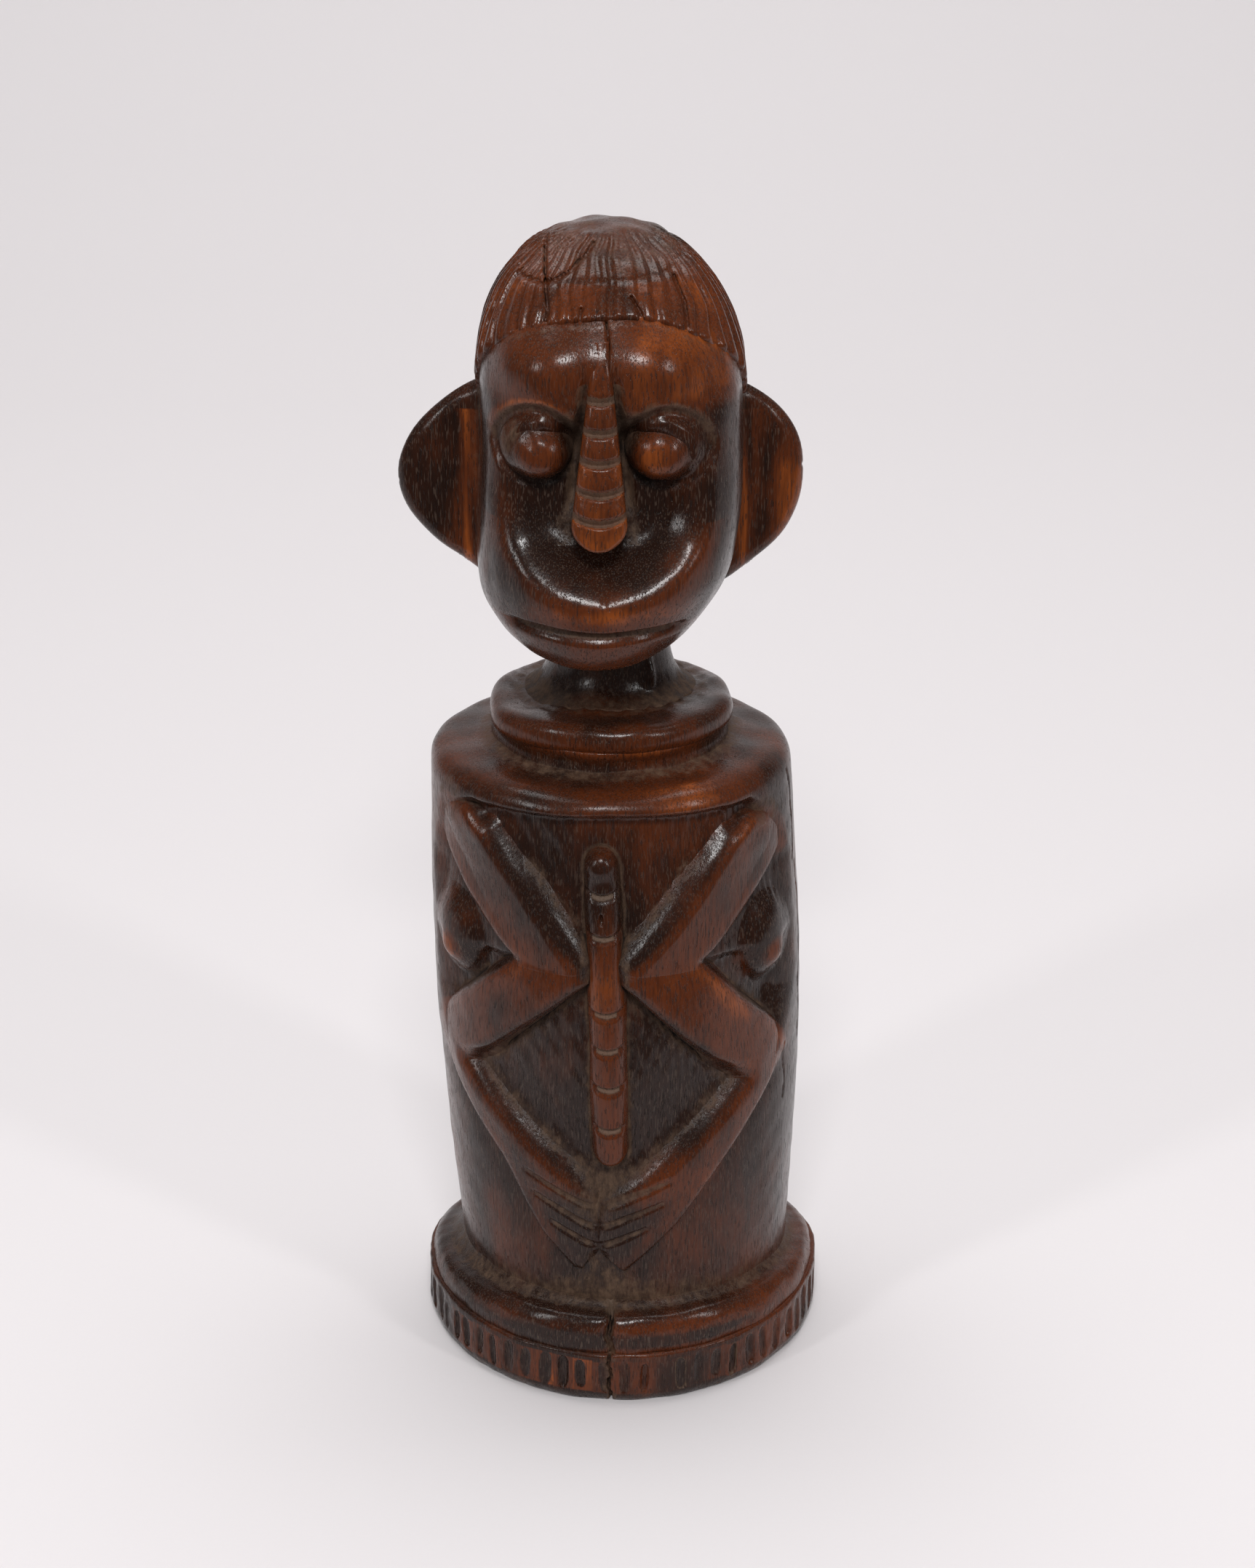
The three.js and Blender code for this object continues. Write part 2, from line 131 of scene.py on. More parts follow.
EAR_OUTLINES = {
    "left": [(-28, 291), (-40, 286.5), (-49.5, 280), (-56.5, 272), (-60, 262), (-58, 252),
             (-51, 243), (-42, 236), (-28, 226)],
    "right": [(20, 291), (32, 286.5), (40.5, 281), (46, 274), (48.4, 266), (48, 255),
              (44, 245), (37, 237.5), (30, 232), (20, 226)],
}

# ---- field helpers ----


def ramp(t):
    """Rises smoothly from 0 to 1 while t does."""
    t = np.clip(t, 0, 1)
    return t * t * (3 - 2 * t)


def join(a, b, radius):
    """Union of two fields with a fillet."""
    h = np.clip(0.5 + 0.5 * (b - a) / radius, 0, 1)
    return b + (a - b) * h - radius * h * (1 - h)


def meet(a, b, radius):
    """Intersection of two fields with a rounded edge."""
    return -join(-a, -b, radius)


def curve(points):
    """A smooth function through a few (position, value) points."""
    at = np.array([p[0] for p in points], float)
    value = np.array([p[1] for p in points], float)
    slope = np.gradient(value, at)
    fine = np.linspace(at[0], at[-1], 200)
    cell = np.clip(np.searchsorted(at, fine) - 1, 0, len(at) - 2)
    width = at[cell + 1] - at[cell]
    t = (fine - at[cell]) / width
    hermite = (value[cell] * (2 * t**3 - 3 * t**2 + 1) + value[cell + 1] * (3 * t**2 - 2 * t**3)
               + width * slope[cell] * (t**3 - 2 * t**2 + t) + width * slope[cell + 1] * (t**3 - t**2))
    return lambda x: np.interp(x, fine, hermite).astype(np.float32)


def smooth_line(points, steps=5):
    """The same line with its corners drawn out into a flowing curve."""
    points = np.array(points, float)
    ends = np.vstack([2 * points[0] - points[1], points, 2 * points[-1] - points[-2]])
    flow = []
    for a, b, c, d in zip(ends, ends[1:], ends[2:], ends[3:]):
        for t in np.arange(steps) / steps:
            flow.append(0.5 * (2 * b + (c - a) * t + (2 * a - 5 * b + 4 * c - d) * t**2
                               + (3 * b - a - 3 * c + d) * t**3))
    flow.append(points[-1])
    return [tuple(point) for point in flow]


def segment_distance(u, v, start, end):
    """Distance in a plane to the stretch from start to end."""
    du, dv = end[0] - start[0], end[1] - start[1]
    t = np.clip(((u - start[0]) * du + (v - start[1]) * dv) / (du * du + dv * dv), 0, 1)
    return np.hypot(u - start[0] - t * du, v - start[1] - t * dv)


def line_distance(u, v, points):
    """Distance in a plane to an open line through points."""
    nearest = segment_distance(u, v, points[0], points[1])
    for start, end in zip(points[1:-1], points[2:]):
        nearest = np.minimum(nearest, segment_distance(u, v, start, end))
    return nearest


def is_inside(u, v, outline):
    """Whether points lie inside a closed outline."""
    inside = np.zeros(u.shape, bool)
    for start, end in zip(outline, outline[1:] + outline[:1]):
        if start[1] == end[1]:
            continue
        crosses = (start[1] > v) != (end[1] > v)
        inside ^= crosses & (u < start[0] + (v - start[1]) * (end[0] - start[0]) / (end[1] - start[1]))
    return inside


def outline_distance(u, v, outline):
    """Signed distance to a closed outline, negative inside."""
    away = line_distance(u, v, outline + outline[:1])
    return np.where(is_inside(u, v, outline), -away, away)


def on_wall(points):
    """Angle and height points as millimetres along the drum wall."""
    return [(angle * ARC, z) for angle, z in points]


def ellipsoid(x, y, z, centre, radii):
    """Roughly the signed distance to an ellipsoid."""
    dx, dy, dz = x - centre[0], y - centre[1], z - centre[2]
    k = np.sqrt((dx / radii[0])**2 + (dy / radii[1])**2 + (dz / radii[2])**2) + 1e-6
    return (1 - 1 / k) * np.sqrt(dx * dx + dy * dy + dz * dz)


def groove(distance, width):
    """Rounded-V section of a groove: one at its middle, zero at its edge."""
    return ramp(1 - distance / width)


def near(value, middle, reach):
    """One at the middle, falling away smoothly over the reach."""
    return np.exp(-((value - middle) / reach)**2)


def bearing(x, y):
    """Angle round a vertical axis in degrees: 0 at the front, positive to the right."""
    return np.degrees(np.arctan2(x, -y))


def squarish(u, v, power):
    """One on the edge of a rounded square of half size one, less inside it."""
    return (np.abs(u)**power + np.abs(v)**power)**(1 / power)


RIPPLES = {}


def ripple(x, y, z, wavelength, seed):
    """Gentle unevenness of hand carving, about -1 to 1; each seed gives its own pattern."""
    if seed not in RIPPLES:
        source = np.random.default_rng(seed)
        axes = source.normal(size=(6, 3))
        axes /= np.linalg.norm(axes, axis=1)[:, None]
        RIPPLES[seed] = (axes * source.uniform(0.7, 1.5, (6, 1)), source.uniform(0, 6.28, 6))
    axes, phases = RIPPLES[seed]
    k = 2 * math.pi / wavelength
    total = sum(np.sin(k * (a[0] * x + a[1] * y + a[2] * z) + p) for a, p in zip(axes, phases))
    return total / 3.5


def cracked(body, u, v, cracks, front=1):
    """Cuts cracks, each a line of points in the (u, v) plane with a width and a depth."""
    for points, width, depth in cracks:
        body = body + depth * groove(line_distance(u, v, points), width) * front
    return body


# ---- base ----

NOTCH_COUNT = 63
NOTCH = {
    "half": rng.uniform(1.2, 1.9, NOTCH_COUNT), "depth": rng.uniform(0.4, 1.3, NOTCH_COUNT),
    "middle": rng.uniform(8.4, 9.6, NOTCH_COUNT), "length": rng.uniform(4.6, 5.8, NOTCH_COUNT),
    "tilt": rng.uniform(-0.08, 0.08, NOTCH_COUNT), "shift": rng.uniform(-0.7, 0.7, NOTCH_COUNT),
}
RIDGE_TILT = 6.5
BACK_FLATNESS = 0.2


def unflatten(x, y):
    """Depth that the point would have if the flattened back were round."""
    outer = ramp((np.hypot(x, y) - 28) / 22)
    return np.where(y > 0, y / (1 - BACK_FLATNESS * outer), y)


def base_crack(angle, z):
    """Distance to the wavy drying crack in the front of the base, along the wall."""
    return np.abs((angle + 3.6) * ARC * 1.15 - 0.4 * np.sin(z * 0.8) - 0.2 * np.sin(z * 2.3))


def notch_place(x, y, z):
    """Index of the nearest notch, height along it, and how far out towards its rim."""
    y = unflatten(x, y)
    turn = (bearing(x, y) / 360 + 0.5) * NOTCH_COUNT
    index = np.floor(turn).astype(int) % NOTCH_COUNT
    pitch = 2 * math.pi * BAND_RADIUS / NOTCH_COUNT
    along = z - NOTCH["middle"][index]
    across = (turn - np.floor(turn) - 0.5) * pitch - NOTCH["shift"][index] - NOTCH["tilt"][index] * along
    out = np.abs(across / NOTCH["half"][index])**2.2 + np.abs(along / NOTCH["length"][index])**4
    return index, along, out


def base_band(x, y, z):
    """The notched foot ring."""
    index, _, out = notch_place(x, y, z)
    depth = NOTCH["depth"][index] * np.sqrt(np.clip(1 - out, 0, 1))
    round_y = unflatten(x, y)
    radius = np.hypot(x, round_y)
    angle = bearing(x, y)
    foot = 1.1 * ramp((3.5 - z) / 3.5)
    wall = radius - BAND_RADIUS + 0.5 + foot + depth
    wall += 0.3 * ripple(x, y, z, 18, 1) + 0.1 * ripple(x, y, z, 5, 2)
    wall += 2.2 * groove(base_crack(angle, z), 0.8)
    body = meet(wall, -z, 1.6)
    return meet(body, z - BAND_TOP - 0.8, 1.0)


# Height of the ridge's top against its distance from the middle.
ridge_top = curve([(30, 40), (46, 28.0), (48, 24.6), (50, 22.4), (52, 21.7), (54, 21.4),
                   (56, 20.3), (60, 13)])


def ridge_lift(y, z):
    """The ridge stands higher at the front than at the sides and the back."""
    lift = ramp((z - RIDGE_LOW[2]) / 5)
    return -y / BAND_RADIUS * RIDGE_TILT * lift


def base_ridge(x, y, z):
    """The glossy rounded ring above the band, which fillets into the drum."""
    radius = np.hypot(x, unflatten(x, y))
    angle = bearing(x, y)
    level = z - ridge_lift(y, z) + 0.3 * ripple(x, y, z, 28, 3)
    nose = radius - 57.0 + 0.25 * ripple(x, y, z, 16, 41)
    top = (level - ridge_top(radius)) * 0.8
    body = meet(nose, top, 5.2) + 0.08 * ripple(x, y, z, 6, 4)
    gap = groove(base_crack(angle, z), 1.4)
    pit = groove(np.hypot((angle + 4.2) * ARC * 1.1, (z - 22.5) * 0.45), 2.6)
    body += 1.6 * gap + 1.3 * pit
    body = meet(body, z - TORSO_LOW[2] - 12, 1.0)
    return meet(body, BAND_TOP - 0.2 - z, 1.4)


# ---- drum and relief ----

drum_profile = curve(DRUM_PROFILE)


def wall_place(x, y, z):
    """Distance from the leaning drum axis, angle from the front in degrees, and drum radius."""
    axis_x = DRUM_AXIS_FOOT_X + DRUM_LEAN * np.clip(z / SHOULDER_Z, 0, 1)**1.3
    dx = x - axis_x
    y = unflatten(dx, y)
    radius = np.hypot(dx, y)
    angle = bearing(dx, y)
    facing = np.clip(np.cos(np.radians(angle)), 0, 1)
    flat = DRUM_FRONT_FLAT * np.clip(z / SHOULDER_Z, 0, 1) * facing**2
    uneven = 0.28 * ripple(x, y, z, 34, 5) + 0.07 * ripple(x, y, z, 9, 6)
    return radius, angle, drum_profile(z) - flat + uneven


def limb_edges(side, s, z):
    """Signed distances to a limb's inner and outer edge lines, negative within the limb."""
    inner = on_wall(LIMBS[side]["inner"])
    outer = on_wall(LIMBS[side]["outer"])
    inside = is_inside(s, z, inner + outer[::-1])
    to_inner = line_distance(s, z, inner)
    to_outer = line_distance(s, z, outer)
    near_inner = to_inner < to_outer
    signed_inner = np.where(~inside & near_inner, to_inner, -to_inner)
    signed_outer = np.where(~inside & ~near_inner, to_outer, -to_outer)
    return signed_inner, signed_outer


def ground_depth(s, z):
    """How far the ground between the limbs is sunk below the drum's own wall."""
    edge = -outline_distance(s, z, on_wall(SUNK_OUTLINE))
    slope = 4 + 6 * ramp((150 - z) / 40)
    slope += 5 * ramp((np.abs(s) / ARC - 56) / 10)
    sunk = ramp(edge / slope)
    past_knobs = ramp((np.abs(s) / ARC - 50) / 10) * ramp((z - 163) / 8)
    depth = SUNK_DEPTH * sunk * (1 - 0.45 * past_knobs)
    for side in LIMBS:
        inner, outer = limb_edges(side, s, z)
        lower = ramp((100 - z) / 12)
        undercut = ramp((z - 98) / 6) * ramp((136 - z) / 5)
        foot = (2.6 * undercut - 1.3) * sunk
        depth += foot * near(np.clip(inner, 0, None), 0, 4.6 - 1.6 * undercut)
        beyond = np.clip(np.maximum(inner, outer), 0, None)
        depth = np.maximum(depth, 1.5 * np.exp(-beyond / 6) * lower)
        sign = -1 if side == "left" else 1
        hollow = np.hypot((s - sign * 55 * ARC) / 11, (z - 133) / 14)
        depth = depth * (1 - 0.22 * near(np.abs(s) / ARC, 78, 16)) + 0.8 * np.exp(-hollow**2)
        angle, nipple_z = BREASTS[side]
        mound = np.hypot((s - angle * ARC) / 10.5, (z - nipple_z - 5) / 15)
        depth = depth - 2.6 * np.exp(-mound**2.4)
    bar = bar_outline(s, z)
    depth += 0.8 * sunk * near(np.clip(bar, 0, None), 0, 2.2)
    centre_rise = near(s, -3 * ARC, 17) * near(z, 98, 14)
    return depth - 0.9 * centre_rise * sunk


# Drying cracks in the sides and back of the drum: angle and height points, width, depth.
WALL_CRACKS = [
    (on_wall([(75, 180), (78, 165), (76.5, 152)]), 0.6, 0.8),
    (on_wall([(80, 150), (82, 132), (80.5, 112), (83, 92)]), 0.6, 0.8),
    (on_wall([(66, 98), (67, 88), (66, 80)]), 0.5, 0.6),
    (on_wall([(-88, 165), (-86.5, 150), (-88.5, 128)]), 0.5, 0.6),
    (on_wall([(150, 176), (151.5, 120), (149, 60), (151, 24)]), 1.0, 1.6),
    (on_wall([(-128, 150), (-126.5, 96), (-128, 70)]), 0.8, 1.1),
    (on_wall([(-165, 182), (-166, 130), (-164.5, 104)]), 0.9, 1.3),
]


def torso(x, y, z):
    """The drum, with its sunk ground, its cracks and its rounded shoulder."""
    radius, angle, wall = wall_place(x, y, z)
    s = angle * ARC
    chisel = 0.16 * ripple(x * 2.2, y * 2.2, z * 0.7, 5, 8)
    sunk = ground_depth(s, z)
    side = radius - wall + sunk + chisel * ramp(sunk / 3)
    side = cracked(side, s + 0.5 * np.sin(z * 0.35), z, WALL_CRACKS)
    rise = 1.9 + 1.9 * np.clip(-y / 46, -0.4, 1) + np.clip((44 - radius) * 0.08, 0, 0.9)
    top = z - SHOULDER_Z - rise + 0.25 * ripple(x, y, z, 18, 9)
    top = top - 1.5 * np.exp(-(np.clip(radius - 31.5, 0, None) / 2.4))
    body = meet(side, top, 7.5)
    return np.maximum(body, RIDGE_LOW[2] + 1 - z)


# Height at which each groove between the fingers starts at the middle, and its length.
FINGER_GROOVES = [(60, 21), (53.5, 19), (47.2, 14)]


def fingers(side, s, z):
    """Depth of the grooves between the fingers of one hand."""
    centre, sign = LIMBS[side]["hand"]
    away = (s - centre * ARC) * sign
    depth = 0
    for start_z, length in FINGER_GROOVES:
        line = [(0, start_z), (length * 0.5, start_z + length * 0.22), (length, start_z + length * 0.42)]
        fade = 1 - 0.6 * np.clip(away / length, 0, 1)
        depth += 1.3 * fade * groove(line_distance(away, z, line), 1.7)
    return depth


def limb(side, x, y, z):
    """One whole limb from knob to hand: a steep inner face, a ridge and a rounded outer face."""
    radius, angle, wall = wall_place(x, y, z)
    s = angle * ARC
    inner, outer = limb_edges(side, s, z)
    slope = 0.1 + 0.05 * ramp((z - 128) / 20)
    top = wall + LIMB_RISE - slope * np.clip(-inner - 4.5, 0, 12)
    knob_s, knob_z = LIMBS[side]["knob"][0] * ARC, LIMBS[side]["knob"][1]
    top += 0.9 * np.exp(-((s - knob_s) / 7)**2 - ((z - knob_z) / 6)**2)
    low_hand = ramp((66 - z) / 20)
    surface = radius - top + fingers(side, s, z)
    below = radius - wall
    steep = ramp((z - 99) / 8) * ramp((134.5 - z) / 3)
    offset = 1.4 - 1.2 * ramp((z - 128) / 12) + 1.6 * ramp((z - 158) / 16)
    sloping_wall = inner * 0.75 + below * 0.66 + offset * (1 - low_hand)
    inner_wall = steep * (inner * 0.95 + below * 0.2) + (1 - steep) * sloping_wall
    outer_wall = outer * 0.93 + below * 0.36 + 1.2 * ramp((z - 138) / 12)
    body = meet(surface, inner_wall, 2.8 - 0.8 * low_hand)
    body = meet(body, outer_wall, 3.2 - 1.6 * low_hand)
    return np.maximum(body, wall - 9.5 - radius)


# A limb is cut across at these lines: a point on the cut and the direction that leads down the limb.
LIMB_CUTS = {
    "left": [((-21, 135), (0.05, -1)), ((-67, 99.5), (0.2, -1)), ((-23, 63), (0.38, -0.92))],
    "right": [((15, 135), (-0.05, -1)), ((56, 99), (-0.2, -1)), ((14, 63.5), (-0.35, -0.94))],
}
LIMB_NAMES = ["upper_limb", "middle_limb", "lower_limb", "hand"]


def limb_part(side, index):
    """One length of a limb; it dives just under its neighbour at each cut, so no gap shows."""
    def field(x, y, z):
        body = limb(side, x, y, z)
        s = wall_place(x, y, z)[1] * ARC
        for cut, sign in ((index - 1, -1), (index, 1)):
            if 0 <= cut < len(LIMB_CUTS[side]):
                (angle, height), (du, dv) = LIMB_CUTS[side][cut]
                length = math.hypot(du, dv)
                past = sign * ((s - angle * ARC) * du + (z - height) * dv) / length
                body += 0.3 * ramp(past / 1.2)
                body = np.maximum(body, past - 1.2)
        return body
    return field


def bar_outline(s, z):
    """Signed distance to the round-ended outline of the spine bar on the wall."""
    centre = BAR_ANGLE * ARC + 0.25 * np.sin(z * 0.06)
    half = BAR_HALF - 0.5 * ramp((z - 150) / 20) + 0.15 * np.sin(z * 0.21)
    end = np.clip(z, BAR_BOTTOM + BAR_HALF, BAR_TOP - BAR_HALF)
    return np.hypot(s - centre, z - end) - half


def bar_notch_rise(across, z, notch_z):
    """Height above the floor of a sagging notch in the bar."""
    return z - (notch_z - 1.0 + 0.055 * across**2)


def belly_bar(x, y, z):
    """The notched bar down the belly, with a bead at its top."""
    radius, angle, wall = wall_place(x, y, z)
    s = angle * ARC
    away = bar_outline(s, z)
    top = wall - 0.2 - 0.9 * ramp((z - 150) / 12) + 0.9 * near(z, 166.5, 2.8)
    across = s - BAR_ANGLE * ARC
    top = top - 0.07 * across**2
    surface = radius - top
    for notch_z in BAR_NOTCHES:
        rise = bar_notch_rise(across, z, notch_z)
        cut = np.where(rise > 0, 1 - rise / 0.7, 1 + rise / 2.6)
        surface += 1.35 * np.clip(cut, 0, 1)
    pit = np.hypot(across + 0.3, (z - 152) / 2.6)
    surface += 1.6 * groove(pit, 1.0)
    body = meet(surface, away * 0.96 + (radius - wall) * 0.28, 2.0)
    return np.maximum(body, wall - 9.5 - radius)


def breast(side):
    """A low cone that grows out of the drum wall, with a nipple."""
    angle, nipple_z = BREASTS[side]

    def field(x, y, z):
        radius, wall_angle, wall = wall_place(x, y, z)
        s = (wall_angle - angle) * ARC
        depth = radius - wall
        cone = ellipsoid(s, depth, z, (0, -5.2, nipple_z + 4.0), (9.0, 6.4, 12.0))
        tip = ellipsoid(s, depth, z, (0, -1.6, nipple_z), (3.1, 2.9, 3.3))
        body = join(join(torso(x, y, z) + 0.2, cone, 5.0), tip, 3.0)
        reach = np.hypot(s, (z - nipple_z - 3) * 0.8) - 15
        return np.maximum(np.maximum(body, reach), -8 - depth)
    return field


# ---- collar and neck ----


def collar_tier(x, y, z):
    """The lower, narrower step of the collar."""
    radius = np.hypot(x - COLLAR_X, y)
    angle = bearing(x - COLLAR_X, y)
    front = near(angle, 0, 48)
    waist = 0.6 * near(z, 190.5, 2.0) - 0.5 * front * ramp((z - 190) / 3)
    wall = radius - TIER_RADIUS - 0.3 + waist + 0.3 * ripple(x, y, z, 24, 12)
    body = np.maximum(wall, z - TIER_HIGH[2] - 1.0)
    return np.maximum(body, TIER_LOW[2] - 3.5 - z)


def flange_top(x, y):
    """Height of the uneven top of the collar, which falls towards the back."""
    fall = np.clip(y + 30, 0, None) * 0.085
    dent = 1.5 * near(np.hypot(x + 26, y + 8), 0, 9)
    return FLANGE_HIGH[2] - fall - dent + 0.35 * ripple(x, y, 0 * x, 17, 13)


def collar_flange(x, y, z):
    """The upper step of the collar, with an overhanging rounded lip."""
    radius = np.hypot(x - COLLAR_X, y)
    angle = bearing(x - COLLAR_X, y)
    bulge = 0.7 * near(angle, -62, 16) - 0.5 * near(angle, -95, 18)
    front = near(angle, 0, 42)
    wall = radius - FLANGE_RADIUS + 0.35 - bulge + 0.55 * front * ramp((197 - z) / 4)
    wall += 0.35 * ripple(x, y, z, 26, 14)
    top = z - flange_top(x, y)
    neck_away = np.hypot(x - NECK_X, y - NECK_Y)
    scrape = 0.3 * ripple(x * 1.2, y * 1.2, z, 6, 15) * near(neck_away, 24, 4)
    body = meet(wall, top + scrape, 4.6)
    under = TIER_HIGH[2] + 0.2 - z - 1.4 * (1 - front)
    return meet(body, under, 2.2)


def neck(x, y, z):
    """The thin neck, flared at its foot, with a raised drip on its right."""
    away = np.hypot(x - NECK_X, y - NECK_Y)
    foot = flange_top(x, y)
    flare = 7.5 * np.exp(-(np.clip(z - foot, 0, None) / 3.6))
    throat = 3.2 * ramp((z - 212) / 9)
    wall = away - 16.3 - flare - throat + 0.3 * ripple(x, y, z, 15, 16)
    drip_angle = bearing(x - NECK_X, y - NECK_Y)
    drip = np.hypot((drip_angle - 36) * 0.29, (z - 206.5) * 0.55)
    wall = wall - 1.9 * groove(drip, 3.0)
    wall = wall - 0.9 * groove(np.abs(drip_angle - 39) * 0.29, 1.8) * ramp((z - 205) / 4)
    body = np.maximum(wall * 0.85, foot - 2.0 - z)
    return np.maximum(body, z - NECK_HIGH[2] + 6)


# ---- head ----

SKULL_Z, CHIN_Z = 285.0, 220.8
HAIR_RISE = 1.4

# How the level section of the head changes with height: half width, its front and its back edge,
# the line where it is widest, its shift to the side, and how square it is.
head_half = curve([(219, 11), (222, 17.5), (226, 23.5), (230, 27.4), (236, 31.6), (243, 33.8),
                   (250, 34.3), (285, 34.2), (335, 34.0)])
head_front = curve([(219, -38.5), (222, -42), (226, -45), (230, -47), (236, -48.5), (243, -49.6),
                    (249, -48.4), (258, -44.4), (272, -42), (290, -41.2), (335, -41.2)])
head_back = curve([(219, -8), (226, 8), (236, 18), (250, 29), (270, 33.5), (285, 34.2),
                   (335, 33.4)])
head_wide = curve([(219, -22), (226, -19), (236, -13), (250, -6), (270, -4.6), (335, -4.6)])
head_shift = curve([(219, -2.6), (232, -2.0), (246, 0), (335, 0)])
head_power = curve([(219, 1.9), (230, 1.95), (238, 2.1), (248, 2.6), (260, 3.2), (286, 3.1),
                    (306, 2.4), (335, 2.2)])


def dish_reach(x, z):
    """One on the rim of the dished lower face, less inside it."""
    return np.hypot((x - DISH_CENTRE[0]) / DISH_HALF[0], (z - DISH_CENTRE[1]) / DISH_HALF[1])


def head_block(x, y, z, swell):
    """Egg-shaped cranium running down into a mask with a wide dished face and a round jaw."""
    dx = x - HEAD_X - head_shift(z)
    sunk = 8.6 * ramp((1.02 - dish_reach(x, z)) / 0.55) * ramp((-8 - y) / 14)
    dy = y - sunk - head_wide(z)
    above = np.clip(z - SKULL_Z, 0, None)
    end_z = above / (CROWN_Z - HAIR_RISE - SKULL_Z)
    power = head_power(z)
    reach_y = np.where(dy < 0, head_wide(z) - head_front(z), head_back(z) - head_wide(z))
    square = (np.abs(dx) / head_half(z))**power + (np.abs(dy) / reach_y)**power
    rho = (square + end_z**2.3)**(1 / power) + 1e-6
    reach = np.sqrt(dx * dx + dy * dy + above**2) + 1e-6
    return meet(reach * (1 - 1 / rho) * 0.93, CHIN_Z - z, 4.0) - swell


HAIRLINE_SLOPE = 0.9


def hairline(x, y, z):
    """Signed distance to the hairline surface, negative in the hair."""
    wave = 0.6 * np.sin(x * 0.13 + 1) - 1.2 * near(x, 20, 9)
    return (283.6 - HAIRLINE_SLOPE * y + wave - z) / math.hypot(1, HAIRLINE_SLOPE)


FOREHEAD_CRACK = [(-3.9, 315), (-3.1, 309), (-3.4, 303), (-2.3, 298), (-1.9, 293)]


def face_details(x, y, z, body):
    """Adds the forehead lobes and cuts the eye rims, nose sides, forehead crack and philtrum."""
    front = ramp((-18 - y) / 8)
    for side in (-1, 1):
        lobe = ellipsoid(x, y, z, (HEAD_X - 0.9 + side * 10.8, -28.6, 301.5), (13.0, 12.6, 9.5))
        body = join(body, lobe, 7.0)
    for u, v, half_x, half_z in SOCKETS.values():
        rim = squarish((x - u) / half_x, (z - v) / half_z, 1.8)
        upper = ramp((z - v + 6) / 8)
        body += (0.9 + 0.7 * upper) * groove(np.abs(rim - 1.0) * half_x, 3.2) * front
    t = nose_fall(z)
    beside = np.abs(np.abs(x - nose_centre(z)) - nose_half(t) - 0.6)
    ends = ramp((NOSE_TOP - 4 - z) / 8) * ramp((z - NOSE_BOTTOM - 3) / 8)
    body += 1.7 * groove(beside, 2.6) * front * ends
    body += 1.4 * groove(line_distance(x, z, FOREHEAD_CRACK), 0.5) * front
    philtrum = np.hypot((x - HEAD_X + 0.2) / 1.4, (z - 247) / 5.5)
    return body + 0.5 * groove(philtrum, 1.0) * front


def mouth_height(x):
    return MOUTH_Z + 0.3 * np.sin(x * 0.21) - 0.02 * (x - HEAD_X)


def mouth_gap(x, y, z):
    """Depth of the slit between the lips, open only round the front."""
    open_front = ramp((-19 - y) / 8)
    rise = z - mouth_height(x)
    lower = ramp(1 + rise / 3.8) * (rise <= 0)
    upper = ramp(1 - rise / 1.1) * (rise > 0)
    width = ramp((24.5 - np.abs(x - HEAD_X + 2.6)) / 7)
    return MOUTH_DEPTH * (lower + upper) * open_front * width


def whole_head(x, y, z):
    body = head_block(x, y, z, 0.0) + 0.1 * ripple(x, y, z, 11, 17)
    body = face_details(x, y, z, body)
    return body + mouth_gap(x, y, z)


def head(x, y, z):
    body = whole_head(x, y, z)
    jaw_side = mouth_height(x) - 0.6 - z - 6 * ramp((y + 22) / 8)
    body = np.maximum(body, jaw_side)
    return np.maximum(body, -hairline(x, y, z) - 1.6)


def lower_jaw(x, y, z):
    """The jaw below the mouth, cut off before the neck."""
    body = whole_head(x, y, z)
    back = y + 14 - 0.12 * np.abs(x - HEAD_X)
    body += 0.3 * ramp((back + 3) / 3)
    body = np.maximum(body, back)
    return np.maximum(body, z - mouth_height(x) - 0.3)


def strands(x, y, z):
    """Grooves that part the hair, running from the crown down to the hairline."""
    dx, dy = x - HEAD_X, y - 5.0
    around = bearing(dx, dy)
    drift = 1.2 * ripple(x, y, z, 70, 21) + 0.16 * ripple(x, y, z, 12, 22)
    turn = around / 360 * 64 + drift
    away = np.abs(turn - np.round(turn))
    which = np.round(turn).astype(int) % 64
    strength = STRAND_DEPTH[which]
    front = near(around, 0, 40)
    start = ramp((np.hypot(dx, dy) - 9 - 5 * STRAND_DEPTH[(which + 7) % 64]) / 7)
    return strength * start * (1 - 0.35 * front) * groove(away, 0.45)


STRAND_DEPTH = rng.uniform(0.35, 1.15, 64)

# Cracks in the front of the hair: points seen from the front, width, depth.
HAIR_CRACKS = [
    ([(-19.6, 330), (-19.2, 321), (-18.4, 316), (-20.2, 309)], 0.7, 1.5),
    ([(-19.2, 321), (-14, 323.5), (-11, 325.5), (-7, 329)], 0.6, 0.9),
    ([(-26, 321), (-19.2, 321)], 0.6, 0.8),
    ([(-10.2, 317), (-10.6, 313)], 0.7, 1.2),
    ([(2.4, 319.5), (4.8, 316), (5.2, 312.6)], 0.75, 1.3),
    ([(13.2, 322), (16, 316.5), (16.8, 311.5)], 0.75, 1.3),
]


